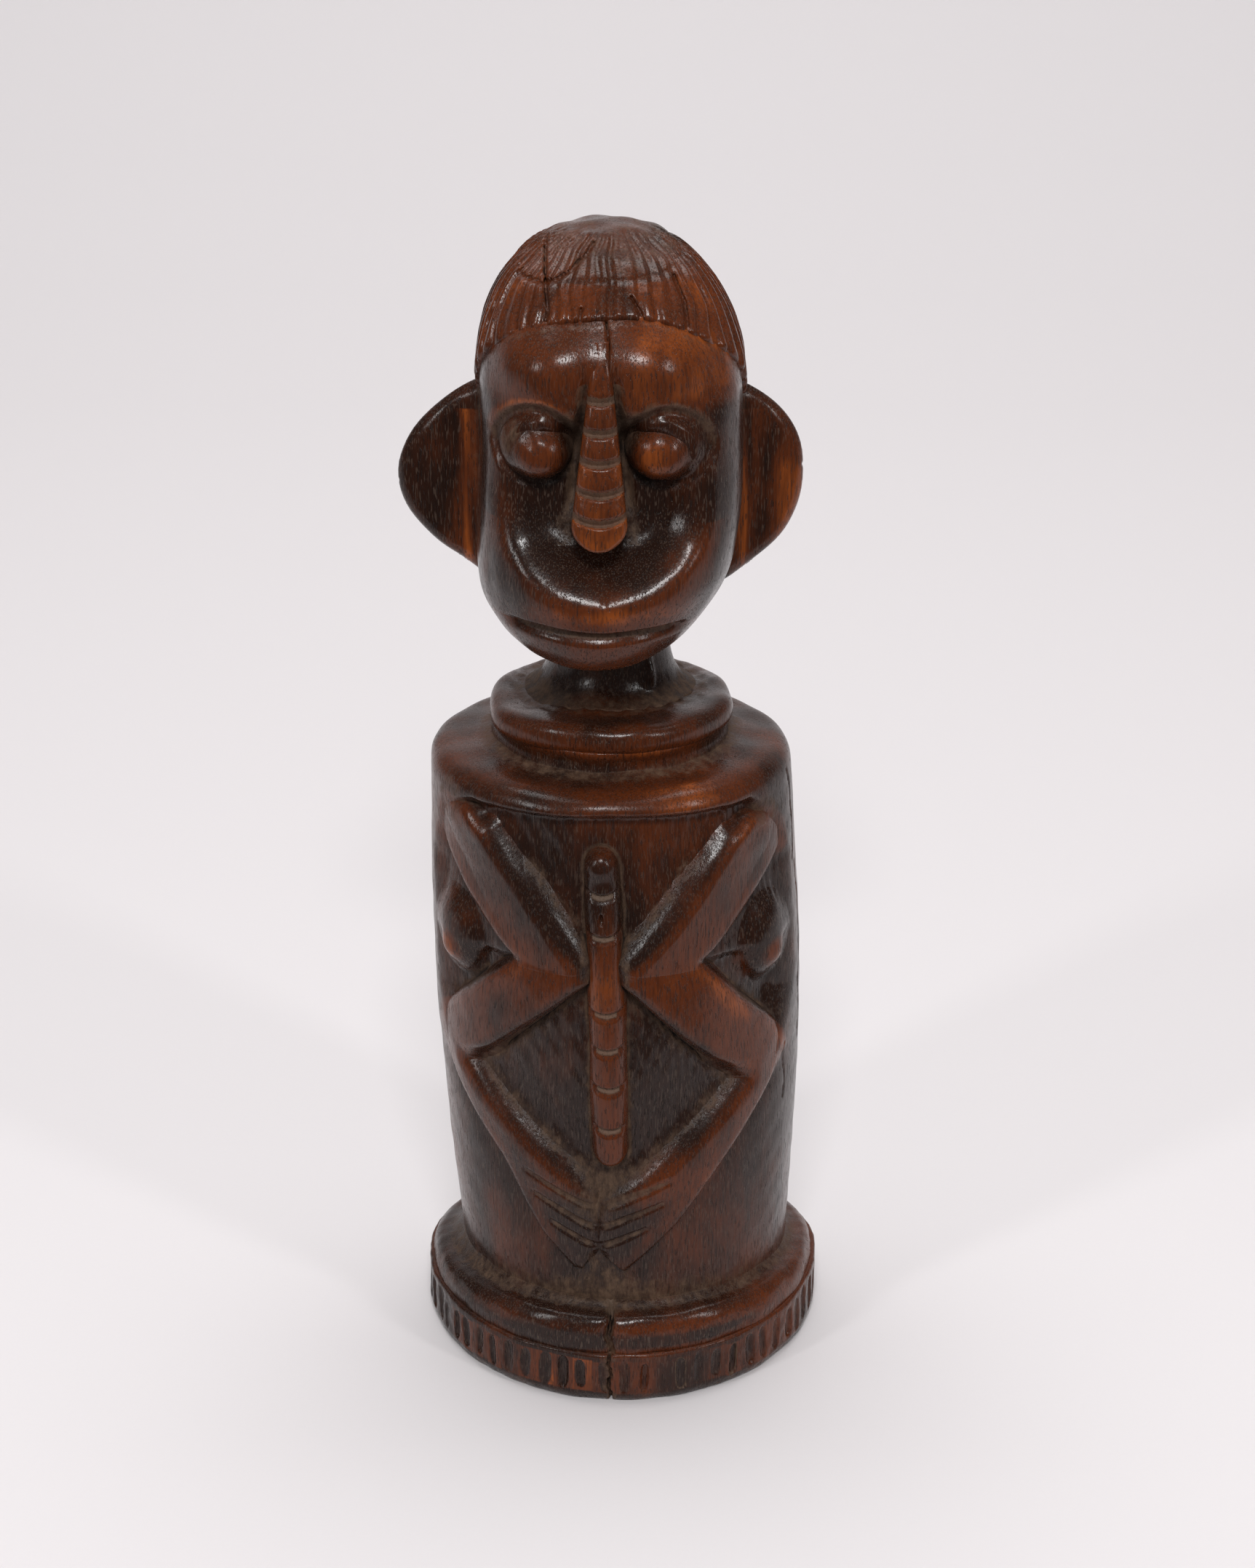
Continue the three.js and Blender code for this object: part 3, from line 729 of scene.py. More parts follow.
def hair_cap(x, y, z):
    body = head_block(x, y, z, HAIR_RISE) + 0.14 * ripple(x, y, z, 12, 23)
    cranium_top = ramp((z - 318) / 8)
    body += 0.35 * ripple(x, y, z, 9, 24) * cranium_top
    body += 1.3 * strands(x, y, z)
    front = ramp((-y) / 10)
    body = cracked(body, x, z, HAIR_CRACKS, front)
    ring = np.abs(z - 325.5 - 0.10 * y - 0.5 * ripple(x, y, z, 22, 25))
    body += 0.16 * groove(ring, 0.8) * ramp((x + 12) / 5)
    body += 1.1 * near(x, -19, 8) * near(y, -16, 12) * cranium_top
    return meet(body, hairline(x, y, z), 1.3)


# ---- nose, eyes and ears ----


def nose_fall(z):
    """How far down the nose bar a height is, from 0 at its top to 1 at its tip."""
    return np.clip((NOSE_TOP - z) / (NOSE_TOP - NOSE_BOTTOM), 0, 1)


def nose_centre(z):
    return -5.4 + 0.012 * (z - 283)


def nose_half(t):
    return 2.2 + 5.4 * t**1.15


def nose_front(t):
    return -38.6 - 11.2 * t**0.8


def nose_bar(x, y, z):
    """The notched wedge of the nose, widest at its tip."""
    t = nose_fall(z)
    across = x - nose_centre(z)
    side = np.abs(across) - nose_half(t)
    front = nose_front(t) + 0.045 * across**2 - y + 1.1 * ramp((0.16 - t) / 0.16)
    for low, high in zip(NOSE_NOTCHES[1:], NOSE_NOTCHES[:-1]):
        front = front - 0.35 * near(z, (low + high) / 2 + 0.6, 2.4)
    for notch_z in NOSE_NOTCHES:
        rise = z - notch_z - 0.03 * across**2
        cut = np.where(rise > 0, 1 - rise / 2.4, 1 + rise / 0.7)
        front += 1.35 * np.clip(cut, 0, 1)
    front += 0.1 * ripple(x, y, z, 8, 26)
    body = meet(front, side * 0.95 + (y + 34) * 0.02, 1.9)
    body = meet(body, NOSE_BOTTOM - 0.8 - z + (y + 48) * 0.35 + 0.05 * across**2, 3.4)
    body = np.maximum(body, z - NOSE_TOP)
    return np.maximum(body, y + 30)


def eye(side):
    """A low almond mound with the eyeball swelling out of it under a lid line."""
    u, v, w, half_x, half_z = EYES[side]
    centre_x, centre_z, almond_x, almond_z = SOCKETS[side]

    def field(x, y, z):
        rim = squarish((x - centre_x) / almond_x, (z - centre_z) / almond_z, 1.8)
        mound = ellipsoid(x, y, z, (centre_x, -31.8, centre_z), (almond_x, 7.4, almond_z))
        mound = np.maximum(mound, (rim - 1) * almond_x)
        ball = ellipsoid(x, y, z, (u, v - 0.8, w), (half_x, 7.0, half_z))
        body = join(mound, ball, 1.2)
        lid = np.abs(np.hypot((x - u) / (half_x + 0.6), (z - w) / (half_z + 1.6)) - 1) * half_x
        body += 0.75 * groove(lid, 1.0) * ramp((z - w + 1) / 4)
        return np.maximum(body + 0.06 * ripple(x, y, z, 5, 27), y + 24)
    return field


def ear(side):
    """A flat round ear, thinner towards its rim and lightly cupped at its root."""
    outline = smooth_line(EAR_OUTLINES[side])
    sign = -1 if side == "left" else 1

    def field(x, y, z):
        away = outline_distance(x, z, outline)
        out = np.clip(sign * (x - HEAD_X) - 33, 0, 26)
        middle = 1.2 + 0.02 * out
        cup = 0.9 * near(out, 5, 4.5)
        thick = 4.1 - 0.06 * out
        slab = np.abs(y - middle - 0.12 * ripple(x, y, z, 16, 28)) - thick
        slab += cup * (y < middle)
        body = meet(slab, away, 4.6)
        nick = np.hypot(x - 48.6, z - 263.5) if side == "right" else np.hypot(x + 60.2, z - 259)
        body += 0.6 * groove(nick, 1.0)
        return np.maximum(body, 27 - sign * (x - HEAD_X))
    return field


# ---- meshing ----

BLOCK = 8  # cells along one side of a block; blocks far from the surface are skipped
CHUNK = 400000
CORNERS = np.array([(i, j, k) for i in (0, 1) for j in (0, 1) for k in (0, 1)])
EDGES = [(a, b) for a in range(8) for b in range(a + 1, 8) if np.abs(CORNERS[a] - CORNERS[b]).sum() == 1]


def sample(field, points):
    """Field values at points, worked out a part at a time to save memory."""
    parts = []
    for start in range(0, len(points), CHUNK):
        chunk = points[start:start + CHUNK].astype(np.float32)
        parts.append(np.asarray(field(chunk[:, 0], chunk[:, 1], chunk[:, 2]), np.float32))
    return np.concatenate(parts)


def slopes(field, points, step):
    """Field value and gradient at points."""
    value = sample(field, points)
    gradient = np.empty((len(points), 3), np.float32)
    for axis in range(3):
        shift = np.zeros(3)
        shift[axis] = step
        gradient[:, axis] = (sample(field, points + shift) - sample(field, points - shift)) / (2 * step)
    return value, gradient


def surface_net(field, low, high, voxel):
    """Closed quad mesh of the field's zero surface inside a box: points and quads."""
    shape = np.ceil((high - low) / (voxel * BLOCK)).astype(int)
    blocks = np.stack(np.meshgrid(*[np.arange(n) for n in shape], indexing="ij"), -1).reshape(-1, 3)
    middle = low + (blocks + 0.5) * BLOCK * voxel
    blocks = blocks[np.abs(sample(field, middle)) < BLOCK * voxel * 1.25 + 2.0]
    span = np.arange(BLOCK + 1)
    lattice = np.stack(np.meshgrid(span, span, span, indexing="ij"), -1).reshape(-1, 3)
    spots = blocks[:, None, :] * BLOCK + lattice[None]
    values = sample(field, low + spots.reshape(-1, 3) * voxel)
    values = values.reshape(len(blocks), BLOCK + 1, BLOCK + 1, BLOCK + 1)
    corner = [values[:, i:i + BLOCK, j:j + BLOCK, k:k + BLOCK] for i, j, k in CORNERS]
    count = sum((c < 0).astype(np.int8) for c in corner)
    found = np.nonzero((count > 0) & (count < 8))
    cell = blocks[found[0]] * BLOCK + np.stack(found[1:], -1)
    at = np.stack([c[found] for c in corner], -1)
    total = np.zeros((len(cell), 3))
    hits = np.zeros(len(cell))
    for a, b in EDGES:
        crosses = (at[:, a] < 0) != (at[:, b] < 0)
        t = np.where(crosses, at[:, a] / np.where(crosses, at[:, a] - at[:, b], 1), 0)
        total += crosses[:, None] * (CORNERS[a] + t[:, None] * (CORNERS[b] - CORNERS[a]))
        hits += crosses
    points = low + (cell + total / hits[:, None]) * voxel
    size = shape * BLOCK + 2
    key = (cell[:, 0] * size[1] + cell[:, 1]) * size[2] + cell[:, 2]
    order = np.argsort(key)
    key, points, at = key[order], points[order], at[order]
    steps = np.array([size[1] * size[2], size[2], 1])
    quads = []
    for axis, far in ((0, 4), (1, 2), (2, 1)):
        crosses = (at[:, 0] < 0) != (at[:, far] < 0)
        own = key[crosses]
        one, two = steps[(axis + 1) % 3], steps[(axis + 2) % 3]
        ring = np.stack([own, own - one, own - one - two, own - two], -1)
        quad = np.clip(np.searchsorted(key, ring), 0, len(key) - 1)
        whole = (key[quad] == ring).all(1)
        flip = at[crosses, 0] > 0
        quad[flip] = quad[flip][:, ::-1]
        quads.append(quad[whole])
    return points, np.concatenate(quads)


def show(name, data):
    """Puts mesh, light or camera data into the scene as an object."""
    thing = bpy.data.objects.new(name, data)
    bpy.context.scene.collection.objects.link(thing)
    return thing


def carve(name, field, low, high, voxel):
    """Meshes a field and pulls its points exactly onto the surface."""
    voxel = voxel * VOXEL_SCALE
    points, quads = surface_net(field, low, high, voxel)
    used, index = np.unique(quads, return_inverse=True)
    points, quads = points[used], index.reshape(-1, 4)
    for _ in range(2):
        value, gradient = slopes(field, points, 0.12)
        size = np.maximum((gradient**2).sum(1), 0.05)
        move = -(value / size)[:, None] * gradient
        reach = np.linalg.norm(move, axis=1, keepdims=True)
        points += move * np.minimum(1, 0.45 * voxel / np.maximum(reach, 1e-9))
    mesh = bpy.data.meshes.new(name)
    mesh.vertices.add(len(points))
    mesh.vertices.foreach_set("co", (points * MM).astype(np.float32).ravel())
    mesh.loops.add(quads.size)
    mesh.loops.foreach_set("vertex_index", quads.ravel().astype(np.int32))
    mesh.polygons.add(len(quads))
    mesh.polygons.foreach_set("loop_start", np.arange(0, quads.size, 4, dtype=np.int32))
    mesh.update(calc_edges=True)
    mesh.validate()
    mesh.shade_smooth()
    return show(name, mesh)


def add_layer(mesh, name, values):
    layer = mesh.attributes.new(name, "FLOAT", "POINT")
    layer.data.foreach_set("value", values.astype(np.float32))


def vertex_values(mesh, name):
    values = np.empty(len(mesh.vertices) * 3, np.float32)
    mesh.vertices.foreach_get(name, values)
    return values.reshape(-1, 3)


def mark_wear_and_shade(piece, whole, paint):
    """Stores how hollow and how proud each point lies, and where it is dusty or rubbed red; the
    hollowness also drives the painted shade that darkens the deepest creases.
    """
    mesh = piece.data
    points = vertex_values(mesh, "co") / MM
    normals = vertex_values(mesh, "normal")
    hollow = np.zeros(len(points))
    for reach, weight in ((1.2, 0.35), (3.0, 0.4), (6.0, 0.25)):
        open_air = sample(whole, points + normals * reach) / reach
        hollow += weight * np.clip(1 - open_air, 0, 1)
    proud = np.zeros(len(points))
    for reach, weight in ((1.5, 0.5), (4.0, 0.5)):
        wood = -sample(whole, points - normals * reach) / reach
        proud += weight * np.clip(1 - wood, 0, 1)
    dust, rubbed = paint(points[:, 0], points[:, 1], points[:, 2])
    add_layer(mesh, "hollow", hollow)
    add_layer(mesh, "proud", proud)
    add_layer(mesh, "dust", np.clip(dust, 0, 1))
    add_layer(mesh, "rubbed", np.clip(rubbed, 0, 1))


# ---- pieces ----


def lower_body(x, y, z):
    """The whole carving up to the neck, as one field."""
    whole = torso(x, y, z)
    for form in (base_band, base_ridge, belly_bar, breast("left"), breast("right"), collar_tier,
                 collar_flange, neck):
        whole = np.minimum(whole, form(x, y, z))
    for side in LIMBS:
        whole = np.minimum(whole, limb(side, x, y, z))
    return whole


def upper_body(x, y, z):
    """Head, hair, ears and neck as one field."""
    whole = head(x, y, z)
    for form in (lower_jaw, hair_cap, nose_bar, eye("left"), eye("right"), ear("left"),
                 ear("right"), neck):
        whole = np.minimum(whole, form(x, y, z))
    return whole


# ---- where dust has settled and where handling has rubbed the wood red ----
# Each of these gives two numbers from 0 to 1 for a point: dust and rubbed.


def base_paint(x, y, z):
    angle = bearing(x, y)
    index, along, out = notch_place(x, y, z)
    land = ramp((out - 0.8) / 0.5) * (z < BAND_TOP - 1) * (np.abs(along) < 5.5)
    orange = near(angle, -15, 13) + 0.55 * near(angle, -48, 16) + 0.35 * near(angle, 40, 25)
    rubbed = 0.14 + land * orange * (0.55 + 0.5 * ((index * 7) % 5 > 1))
    crest = z - ridge_lift(y, z)
    lip = 0.2 * near(crest, 17.6, 1.8) + 0.3 * near(angle, 22, 26) * near(crest, 18, 2)
    rubbed += (crest > BAND_TOP) * lip
    foot = ramp((53.5 - np.hypot(x, unflatten(x, y))) / 3.5) * (z > BAND_TOP)
    rims = ((index % 3) == 1) & (angle > 3) & (angle < 40)
    dust = 0.55 * foot + 0.95 * near(out, 1.0, 0.25) * rims + 0.22 * (1 - land) * (z < BAND_TOP)
    crack = groove(base_crack(angle, z), 3.0)
    return dust + 0.55 * crack, rubbed


def drum_paint(x, y, z):
    radius, angle, wall = wall_place(x, y, z)
    s = angle * ARC
    dust = 0.1 + 0 * x
    rubbed = 0.16 + 0.16 * near(angle, 45, 22) * (z < 110)
    rubbed += 0.22 * near(angle, -62, 20) * near(z, 60, 45)
    sunk = wall - radius
    front = ramp((72 - np.abs(angle)) / 14) * ramp((z - 48) / 10)
    ground = 0.32 * ramp((z - 110) / 25) - 0.18
    rubbed += ground * front * ramp((sunk - 3) / 2) + 0.2 * near(np.abs(angle), 88, 16)
    for side in LIMBS:
        inner, outer = limb_edges(side, s, z)
        foot = near(inner, 1.6, 3.6) * ramp((sunk - 1.4) / 2.2)
        dust += 0.42 * foot * front * ramp((169 - z) / 6)
        corner = near(z, 118, 16) * near(np.abs(s) / ARC, 52, 22)
        dust += 0.5 * near(outer, 1.5, 3.5) * ramp((outer + 0.8) / 1.2) * corner
        raised = ramp((2.6 - sunk) / 2.0)
        on_limb = raised * ramp((-0.5 - inner) / 3) * ramp((0.8 - outer) / 1.2)
        redness = 0.45 if side == "right" else 0.33
        redness += 0.3 * near(z, 100, 14) + 0.28 * near(z, 134, 10)
        redness = redness - 0.42 * ramp((68 - z) / 14) + 0.2 * near(outer, -3, 3)
        rubbed += (redness - rubbed) * on_limb
        in_groove = ramp((fingers(side, s, z) - 0.2) / 0.5)
        dust = dust * (1 - 0.7 * on_limb) + 0.75 * in_groove * on_limb
        knob_angle, knob_z = LIMBS[side]["knob"]
        knob = np.hypot(s - knob_angle * ARC, z - knob_z - 5)
        dust += 0.45 * near(knob, 4, 4) * (z > 170)
    bar = bar_outline(s, z)
    dust += 0.45 * near(bar, 1.4, 1.8) * ramp(bar / 0.6)
    above_ridge = z - RIDGE_HIGH[2] - ridge_lift(y, z) + 6.5
    dust += 0.6 * ramp((14 - above_ridge) / 11) * near(np.abs(angle), 8, 62)
    dust += 0.5 * near(s, -8 * ARC, 13) * near(z, 62, 9)
    dust += 0.4 * near(s, -8 * ARC, 9) * near(z, 39, 8)
    rim = ramp((z - 180) / 3) * ramp((radius - 39) / 4)
    rubbed += rim * (0.5 * near(angle, 30, 22) + 0.2 * near(angle, -30, 20))
    dust += 0.5 * ramp((39.5 - radius) / 6) * (z > 181)
    for breast_angle, nipple_z in BREASTS.values():
        nipple = np.hypot(s - breast_angle * ARC, z - nipple_z)
        rubbed += 0.75 * ramp((6.5 - nipple) / 4.5)
    return np.minimum(dust, 0.8), rubbed


def bar_paint(x, y, z):
    radius, angle, wall = wall_place(x, y, z)
    across = (angle - BAR_ANGLE) * ARC
    dust = 0.05 + 0.3 * (wall - radius > 3.2)
    rubbed = 0.42 + 0.3 * near(z, 135, 14) - 0.25 * near(z, 158, 12)
    for notch_z in BAR_NOTCHES:
        rise = bar_notch_rise(across, z, notch_z)
        dust += 0.95 * ramp((rise + 1.9) / 0.8) * (rise < 0.1) * (np.abs(across) < 3.2)
    return dust, rubbed


def collar_paint(x, y, z):
    neck_away = np.hypot(x - NECK_X, y - NECK_Y)
    angle = bearing(x - COLLAR_X, y)
    dust = 0.5 * near(neck_away, 25, 3.5) * (z > 195) + 0.5 * ramp((190.5 - z) / 3)
    dust += 0.25 * near(z, 191, 1.5)
    scrape = near(neck_away, 25, 2.2) * near(angle, -8, 22) * (z > 196)
    return dust, 0.22 + 0.4 * near(angle, 0, 60) * near(z, 194.5, 3) + 0.5 * scrape


def neck_paint(x, y, z):
    angle = bearing(x - NECK_X, y - NECK_Y)
    dust = 0.25 + 0.5 * ramp((204 - z) / 4)
    return dust, 0.04 + 0.5 * near(angle, -10, 25) * near(z, 200, 2)


def face_paint(x, y, z):
    dish = dish_reach(x, z)
    front = ramp((-14 - y) / 10)
    right = ramp((x - HEAD_X) / 10)
    forehead = ramp((z - 289) / 8) * front
    rubbed = 0.2 + forehead * (0.26 + 0.34 * right) - 0.16 * ramp((0.9 - dish) / 0.4) * front
    lip = near(z, 239.5, 4) * front * ramp((28 - np.abs(x - HEAD_X)) / 10)
    rubbed += 0.5 * lip + 0.25 * near(dish, 1.02, 0.12) * front * (z < 262)
    rubbed += 0.32 * ramp((MOUTH_Z - 1 - z) / 3) * near(x, HEAD_X - 2, 24) * front
    dust = 0.75 * ramp(mouth_gap(x, y, z) - 0.8) + 0.4 * near(hairline(x, y, z), 1.2, 1.6)
    for u, v, half_x, half_z in SOCKETS.values():
        rim = np.hypot((x - u) / half_x, (z - v) / half_z)
        dust += 0.75 * near(rim, 1.12, 0.2) * ramp((z - v + 3) / 6) * front
        rubbed += 0.5 * near(rim, 1.3, 0.1) * front * ramp((z - v) / 5) * (x < HEAD_X)
    t = nose_fall(z)
    beside = np.abs(x - nose_centre(z)) - nose_half(t)
    dust += 0.55 * near(beside, 1.2, 2.4) * front * (z > NOSE_BOTTOM - 3) * (z < 300)
    return dust, rubbed


def hair_paint(x, y, z):
    dust = 0.05 + 0.3 * ramp((z - 321) / 6)
    patch = 0.5 + 0.5 * ripple(x, y, z, 22, 51)
    return dust, 0.36 + 0.32 * ramp((patch - 0.4) / 0.4) * (z < 322)


def nose_paint(x, y, z):
    dust = 0.05 + 0 * x
    across = x - nose_centre(z)
    for notch_z in NOSE_NOTCHES:
        rise = z - notch_z - 0.03 * across**2
        dust += 0.85 * ((rise > -0.4) & (rise < 1.7))
    return dust, 0.55 + 0.25 * ramp((300 - z) / 20)


def eye_paint(x, y, z):
    rubbed = 0 * x
    dust = 0.3 + 0 * x
    for u, v, w, half_x, half_z in EYES.values():
        out = np.hypot((x - u) / half_x, (z - w) / half_z)
        ball = ramp((1.1 - out) / 0.7)
        rubbed += 0.6 * ball
        dust = dust - 0.3 * ball + 0.5 * near(out, 1.2, 0.14) * ramp((z - w + 2) / 4)
    return dust, rubbed + 0.15


def ear_paint(x, y, z):
    out = np.abs(x - HEAD_X)
    root = near(out, 36.5, 3.2)
    streaks = 0.6 + 0.6 * ripple(3 * x, 0, z * 0.3, 14, 52)
    outer_right = ramp((x - 38) / 5) * ramp((276 - z) / 14)
    rubbed = 0.14 + root * streaks * (z < 280) + 0.7 * outer_right
    return 0.25 * near(out, 34, 2.5), rubbed


# Node, its field, the mesh cell in millimetres, the field that shades its hollows, its paint.
PIECES = [
    ("base_band", base_band, 0.55, lower_body, base_paint),
    ("base_ridge", base_ridge, 0.6, lower_body, base_paint),
    ("torso", torso, 0.78, lower_body, drum_paint),
    ("belly_bar", belly_bar, 0.4, lower_body, bar_paint),
    ("breast_left", breast("left"), 0.5, lower_body, drum_paint),
    ("breast_right", breast("right"), 0.5, lower_body, drum_paint),
    ("collar_tier", collar_tier, 0.6, lower_body, collar_paint),
    ("collar_flange", collar_flange, 0.6, lower_body, collar_paint),
    ("neck", neck, 0.6, lower_body, neck_paint),
    ("head", head, 0.54, upper_body, face_paint),
    ("lower_jaw", lower_jaw, 0.52, upper_body, face_paint),
    ("hair_cap", hair_cap, 0.54, upper_body, hair_paint),
    ("nose_bar", nose_bar, 0.38, upper_body, nose_paint),
    ("eye_left", eye("left"), 0.4, upper_body, eye_paint),
    ("eye_right", eye("right"), 0.4, upper_body, eye_paint),
    ("ear_left", ear("left"), 0.5, upper_body, ear_paint),
    ("ear_right", ear("right"), 0.5, upper_body, ear_paint),
]
for limb_side in LIMBS:
    for limb_index, limb_name in enumerate(LIMB_NAMES):
        field = limb_part(limb_side, limb_index)
        PIECES.append((f"{limb_name}_{limb_side}", field, 0.5, lower_body, drum_paint))

# ---- wood ----

SLOT_OF = {part["node"]: part["material_slot"] for part in frame["record"]["subparts"]}
WOODS = {
    "dark_wood": {"wear": 0.0, "dust": 0.9, "gloss": 0.15, "flecks": 0.32},
    "worn_wood": {"wear": 0.05, "dust": 0.9, "gloss": 0.16, "flecks": 0.2},
    "dusty_wood": {"wear": 0.0, "dust": 1.0, "gloss": 0.18, "flecks": 0.22},
}


PATINA = (0.020, 0.0072, 0.0040, 1)
RED_WOOD = (0.108, 0.0245, 0.0065, 1)
ORANGE_WOOD = (0.33, 0.078, 0.0135, 1)
GRAIN_STREAK = (0.012, 0.006, 0.0045, 1)
PALE_FLECK = (0.15, 0.105, 0.08, 1)
PORE = (0.006, 0.003, 0.002, 1)
DARK_DUST = (0.042, 0.0225, 0.0135, 1)
PALE_DUST = (0.135, 0.08, 0.049, 1)
NOTCH_DUST = (0.16, 0.105, 0.072, 1)
# Painted shade: a near-black colour laid into the deepest creases and hollows in place of shadow.
PAINTED_CREASE_SHADE = (0.005, 0.003, 0.0025, 1)


class Nodes:
    """Short hands for building a node tree."""

    def __init__(self, tree):
        self.tree = tree

    def add(self, kind, *values, **named):
        """A node with its first inputs given in order and others by name."""
        node = self.tree.nodes.new(kind)
        for index, value in enumerate(values):
            self.feed(node.inputs[index], value)
        for name, value in named.items():
            self.feed(node.inputs[name], value)
        return node

    def feed(self, socket, value):
        if isinstance(value, bpy.types.NodeSocket):
            self.tree.links.new(value, socket)
        else:
            socket.default_value = value

    def math(self, operation, a, b=0.0, clamp=False):
        node = self.add("ShaderNodeMath", a, b)
        node.operation = operation
        node.use_clamp = clamp
        return node.outputs[0]

    def plus(self, base, value, amount, middle=0.0):
        """base + amount * (value - middle)"""
        if middle:
            value = self.math("SUBTRACT", value, middle)
        return self.math("ADD", base, self.math("MULTIPLY", value, amount))

    def span(self, value, low, high, to_low=0.0, to_high=1.0):
        node = self.add("ShaderNodeMapRange", value, low, high, to_low, to_high)
        node.interpolation_type = "SMOOTHSTEP"
        return node.outputs[0]

    def noise(self, place, scale, detail=3.0, roughness=0.55):
        node = self.add("ShaderNodeTexNoise", Vector=place, Scale=scale, Detail=detail,
                        Roughness=roughness)
        return node.outputs["Fac"]

    def mix(self, factor, a, b):
        node = self.tree.nodes.new("ShaderNodeMix")
        node.data_type = "RGBA"
        node.clamp_factor = True
        self.feed(node.inputs[0], factor)
        self.feed(node.inputs[6], a)
        self.feed(node.inputs[7], b)
        return node.outputs[2]

    def layer(self, name):
        node = self.add("ShaderNodeAttribute")
        node.attribute_name = name
        return node.outputs["Fac"]

    def stretched(self, x, y, z):
        place = self.add("ShaderNodeTexCoord").outputs["Object"]
        node = self.add("ShaderNodeMapping", place)
        node.inputs["Scale"].default_value = (x, y, z)
        return node.outputs[0]


def wood(slot, look):
    """Old handled hardwood: near-black patina, rubbed red-brown, dust in the hollows, open pores, and
    painted shade that darkens the deepest creases.
    """
    material = bpy.data.materials.new(slot)
    material.use_nodes = True
    tree = material.node_tree
    shader = tree.nodes["Principled BSDF"]
    n = Nodes(tree)
    hollow, proud, settled, handled = map(n.layer, ("hollow", "proud", "dust", "rubbed"))

    broad = n.noise(n.stretched(1, 1, 0.6), 30, 3)
    middle = n.noise(n.stretched(1, 1, 0.4), 130, 4)
    grain = n.noise(n.stretched(1, 1, 0.045), 1500, 3, 0.6)
    pore_noise = n.noise(n.stretched(1, 1, 0.11), 2600, 1, 0.4)
    fleck = n.noise(n.stretched(1, 1, 0.12), 3000, 0, 0.4)
    settle = n.noise(n.stretched(1, 1, 0.6), 420, 5, 0.7)

    red = n.plus(handled, proud, 0.3, 0.3)
    red = n.plus(red, broad, 1.35, 0.5)
    red = n.plus(red, middle, 0.7, 0.5)
    red = n.math("ADD", red, look["wear"])
    colour = n.mix(n.span(red, 0.0, 0.62), PATINA, RED_WOOD)
    colour = n.mix(n.span(red, 0.62, 1.15), colour, ORANGE_WOOD)
    streaks = n.math("MULTIPLY", n.span(grain, 0.42, 0.66), 0.4)
    colour = n.mix(streaks, colour, GRAIN_STREAK)

    light_pores = n.math("MULTIPLY", n.span(fleck, 0.60, 0.70), n.span(red, 0.75, 0.2, 0.1, 1.0))
    colour = n.mix(n.math("MULTIPLY", light_pores, look["flecks"]), colour, PALE_FLECK)
    pores = n.span(pore_noise, 0.60, 0.67)
    colour = n.mix(n.math("MULTIPLY", pores, 0.55), colour, PORE)

    dust = n.plus(settled, n.span(hollow, 0.35, 0.8), 0.35)
    dust = n.plus(dust, settle, 1.1, 0.5)
    dust = n.plus(dust, middle, 0.5, 0.5)
    dust = n.math("MULTIPLY", n.span(dust, 0.22, 0.85), look["dust"])
    dust_colour = n.mix(n.span(settle, 0.3, 0.7), DARK_DUST, PALE_DUST)
    dust_colour = n.mix(n.span(settled, 0.82, 1.0), dust_colour, NOTCH_DUST)
    colour = n.mix(n.math("MULTIPLY", dust, 0.8), colour, dust_colour)
    # Painted shade: the deepest hollows are darkened towards near-black.
    colour = n.mix(n.math("MULTIPLY", n.span(hollow, 0.85, 1.0), 0.8), colour, PAINTED_CREASE_SHADE)
    tree.links.new(colour, shader.inputs["Base Color"])

    rough = n.plus(look["gloss"], middle, 0.12)
    rough = n.plus(rough, dust, 0.42)
    rough = n.plus(rough, n.span(hollow, 0.2, 0.6), 0.14)
    rough = n.math("ADD", rough, n.math("MULTIPLY", pores, 0.2), clamp=True)
    tree.links.new(rough, shader.inputs["Roughness"])
    shader.inputs["IOR"].default_value = 1.5
    shader.inputs["Specular IOR Level"].default_value = 0.28

    height = n.plus(n.math("MULTIPLY", pores, -0.9), grain, -0.28)
    height = n.plus(height, n.noise(n.stretched(1, 1, 0.5), 700, 3), 0.5)
    height = n.plus(height, n.math("MULTIPLY", dust, settle), 1.6)
    bump = n.add("ShaderNodeBump", Height=height, Strength=0.55, Distance=0.00024)
    tree.links.new(bump.outputs[0], shader.inputs["Normal"])
    return material


MATERIALS = {slot: wood(slot, look) for slot, look in WOODS.items()}

MARGIN = np.array([6.0, 6.0, 5.0])
for node, field, voxel, whole, paint in PIECES:
    low, high = node_box(node)
    piece = carve(f"carved_{node}", field, low - MARGIN, high + MARGIN, voxel)
    mark_wear_and_shade(piece, whole, paint)
    piece.data.materials.append(MATERIALS[SLOT_OF[node]])
    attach(piece, "root")
    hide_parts(node)

# ---- floor, light and camera ----

PAPER = (0.80, 0.765, 0.775, 1)
PAPER_SHADE = (0.785, 0.75, 0.76, 1)


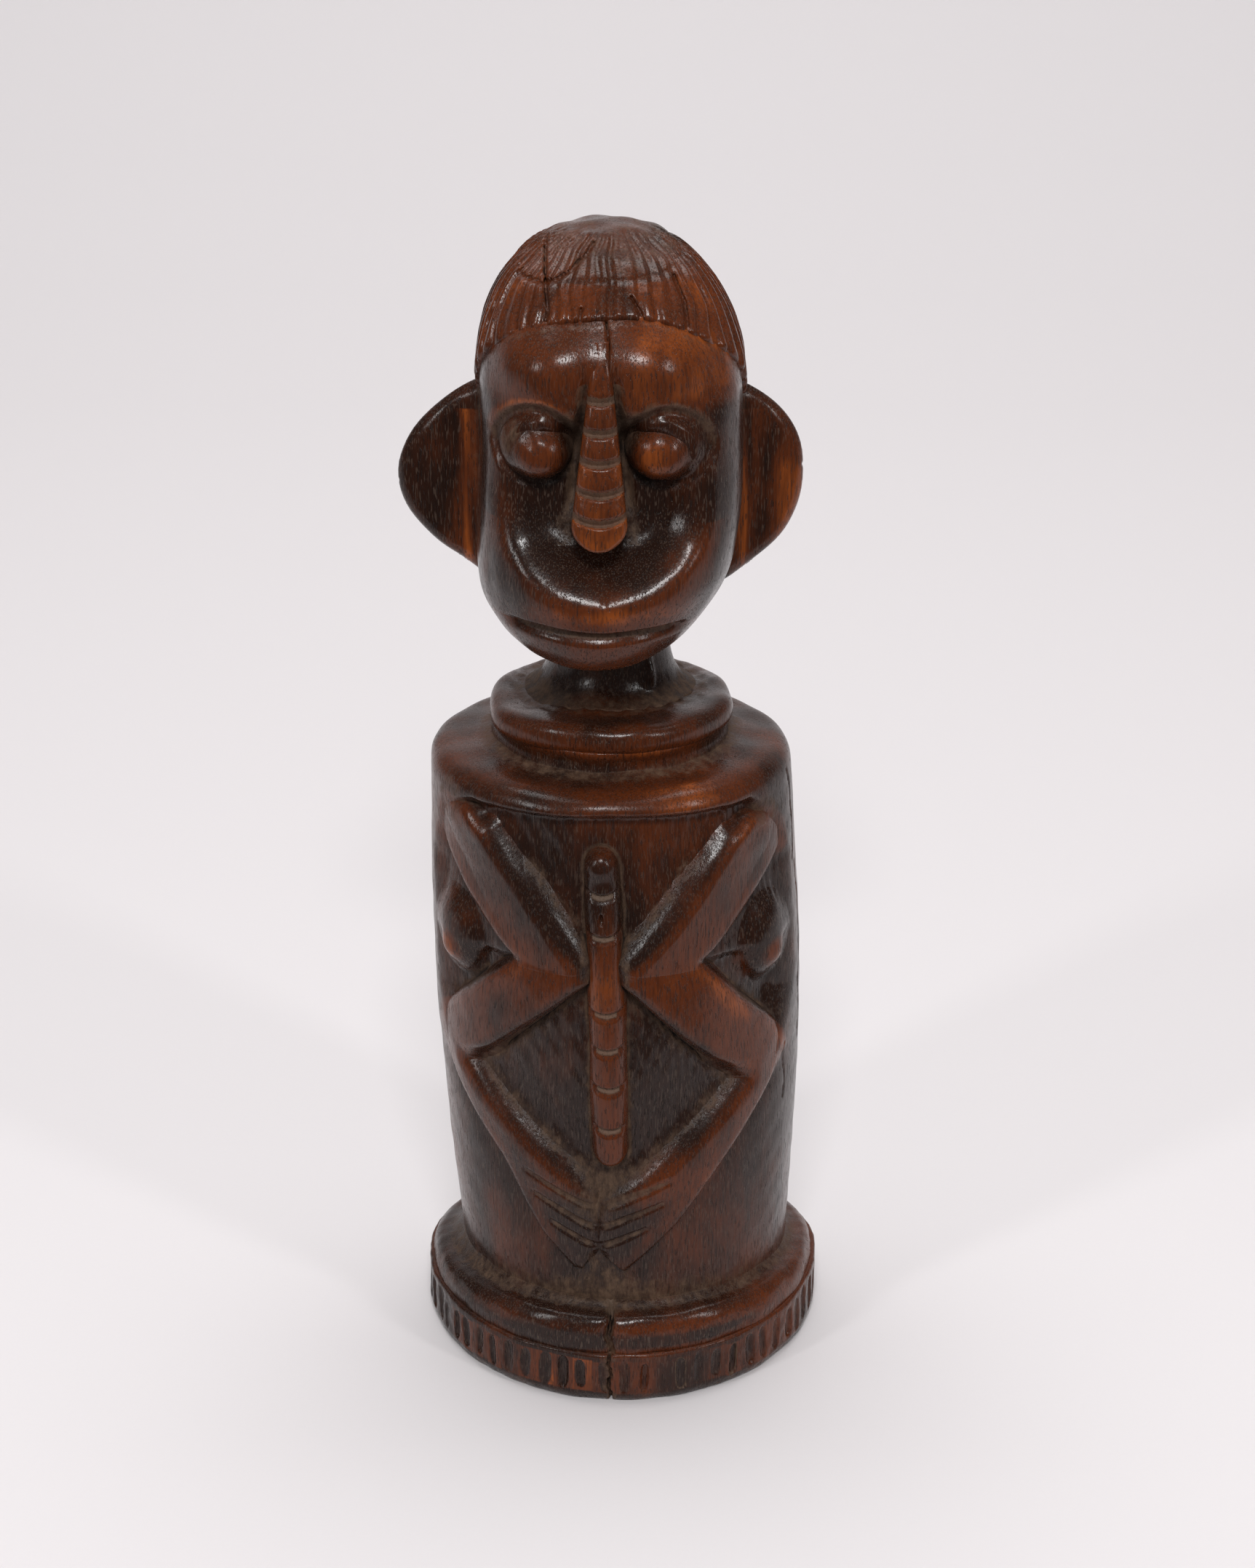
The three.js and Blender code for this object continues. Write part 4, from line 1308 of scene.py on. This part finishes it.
def backdrop():
    """A pale sheet that runs along the floor and sweeps up behind the figure."""
    half, front, back, height, bend = 2.4, -0.24, 2.0, 2.6, 1.2
    profile = [(front, 0.0), (back - bend, 0.0)]
    for step in range(1, 13):
        a = math.pi / 2 * step / 12
        profile.append((back - bend + bend * math.sin(a), bend - bend * math.cos(a)))
    profile.append((back, height))
    points = [(x, y, z) for y, z in profile for x in (-half, half)]
    faces = [(2 * i, 2 * i + 1, 2 * i + 3, 2 * i + 2) for i in range(len(profile) - 1)]
    mesh = bpy.data.meshes.new("backdrop")
    mesh.from_pydata(points, [], faces)
    mesh.shade_smooth()
    sheet = show("backdrop", mesh)
    material = bpy.data.materials.new("paper")
    material.use_nodes = True
    shader = material.node_tree.nodes["Principled BSDF"]
    n = Nodes(material.node_tree)
    tone = n.noise(n.stretched(1, 1, 1), 900, 2)
    material.node_tree.links.new(n.mix(tone, PAPER, PAPER_SHADE), shader.inputs["Base Color"])
    shader.inputs["Roughness"].default_value = 0.7
    mesh.materials.append(material)


# Place, the point it faces, width and height in metres, and power in watts.
LIGHTS = {
    "key": ((0.0, -1.15, 1.35), (0, 0, 0.2), (0.4, 0.2), 12),
    "window_left": ((-0.95, -0.8, 0.78), (0, 0, 0.18), (0.12, 0.4), 3.2),
    "window_right": ((0.95, -0.8, 0.78), (0, 0, 0.18), (0.12, 0.4), 3.2),
    "top": ((0, 0.4, 2.1), (0, 0.2, 0), (1.8, 1.2), 20),
    "back": ((0, 0.4, 2.2), (0, 1.9, 0.9), (2.0, 0.8), 15),
}


def soft_light(name, place, aim, size, power):
    data = bpy.data.lights.new(name, "AREA")
    data.shape = "RECTANGLE"
    data.size, data.size_y = size
    data.energy = power
    light = show(name, data)
    light.location = place
    light.rotation_euler = (Vector(aim) - Vector(place)).to_track_quat("-Z", "Y").to_euler()


backdrop()
for light_name, settings in LIGHTS.items():
    soft_light(light_name, *settings)

world = bpy.data.worlds.new("studio")
world.use_nodes = True
background = world.node_tree.nodes["Background"]
background.inputs["Color"].default_value = (0.97, 0.96, 0.97, 1)
background.inputs["Strength"].default_value = 0.12
bpy.context.scene.world = world
bpy.context.scene.view_settings.view_transform = "Standard"

CAMERA_PLACE = (0.00151, -0.8117, 0.5662)
CAMERA_PITCH = 26.07
camera_data = bpy.data.cameras.new("camera")
camera_data.sensor_width = 36
camera_data.lens = 74.34
camera = show("camera", camera_data)
camera.location = CAMERA_PLACE
camera.rotation_euler = (math.radians(90 - CAMERA_PITCH), 0, 0)
bpy.context.scene.camera = camera
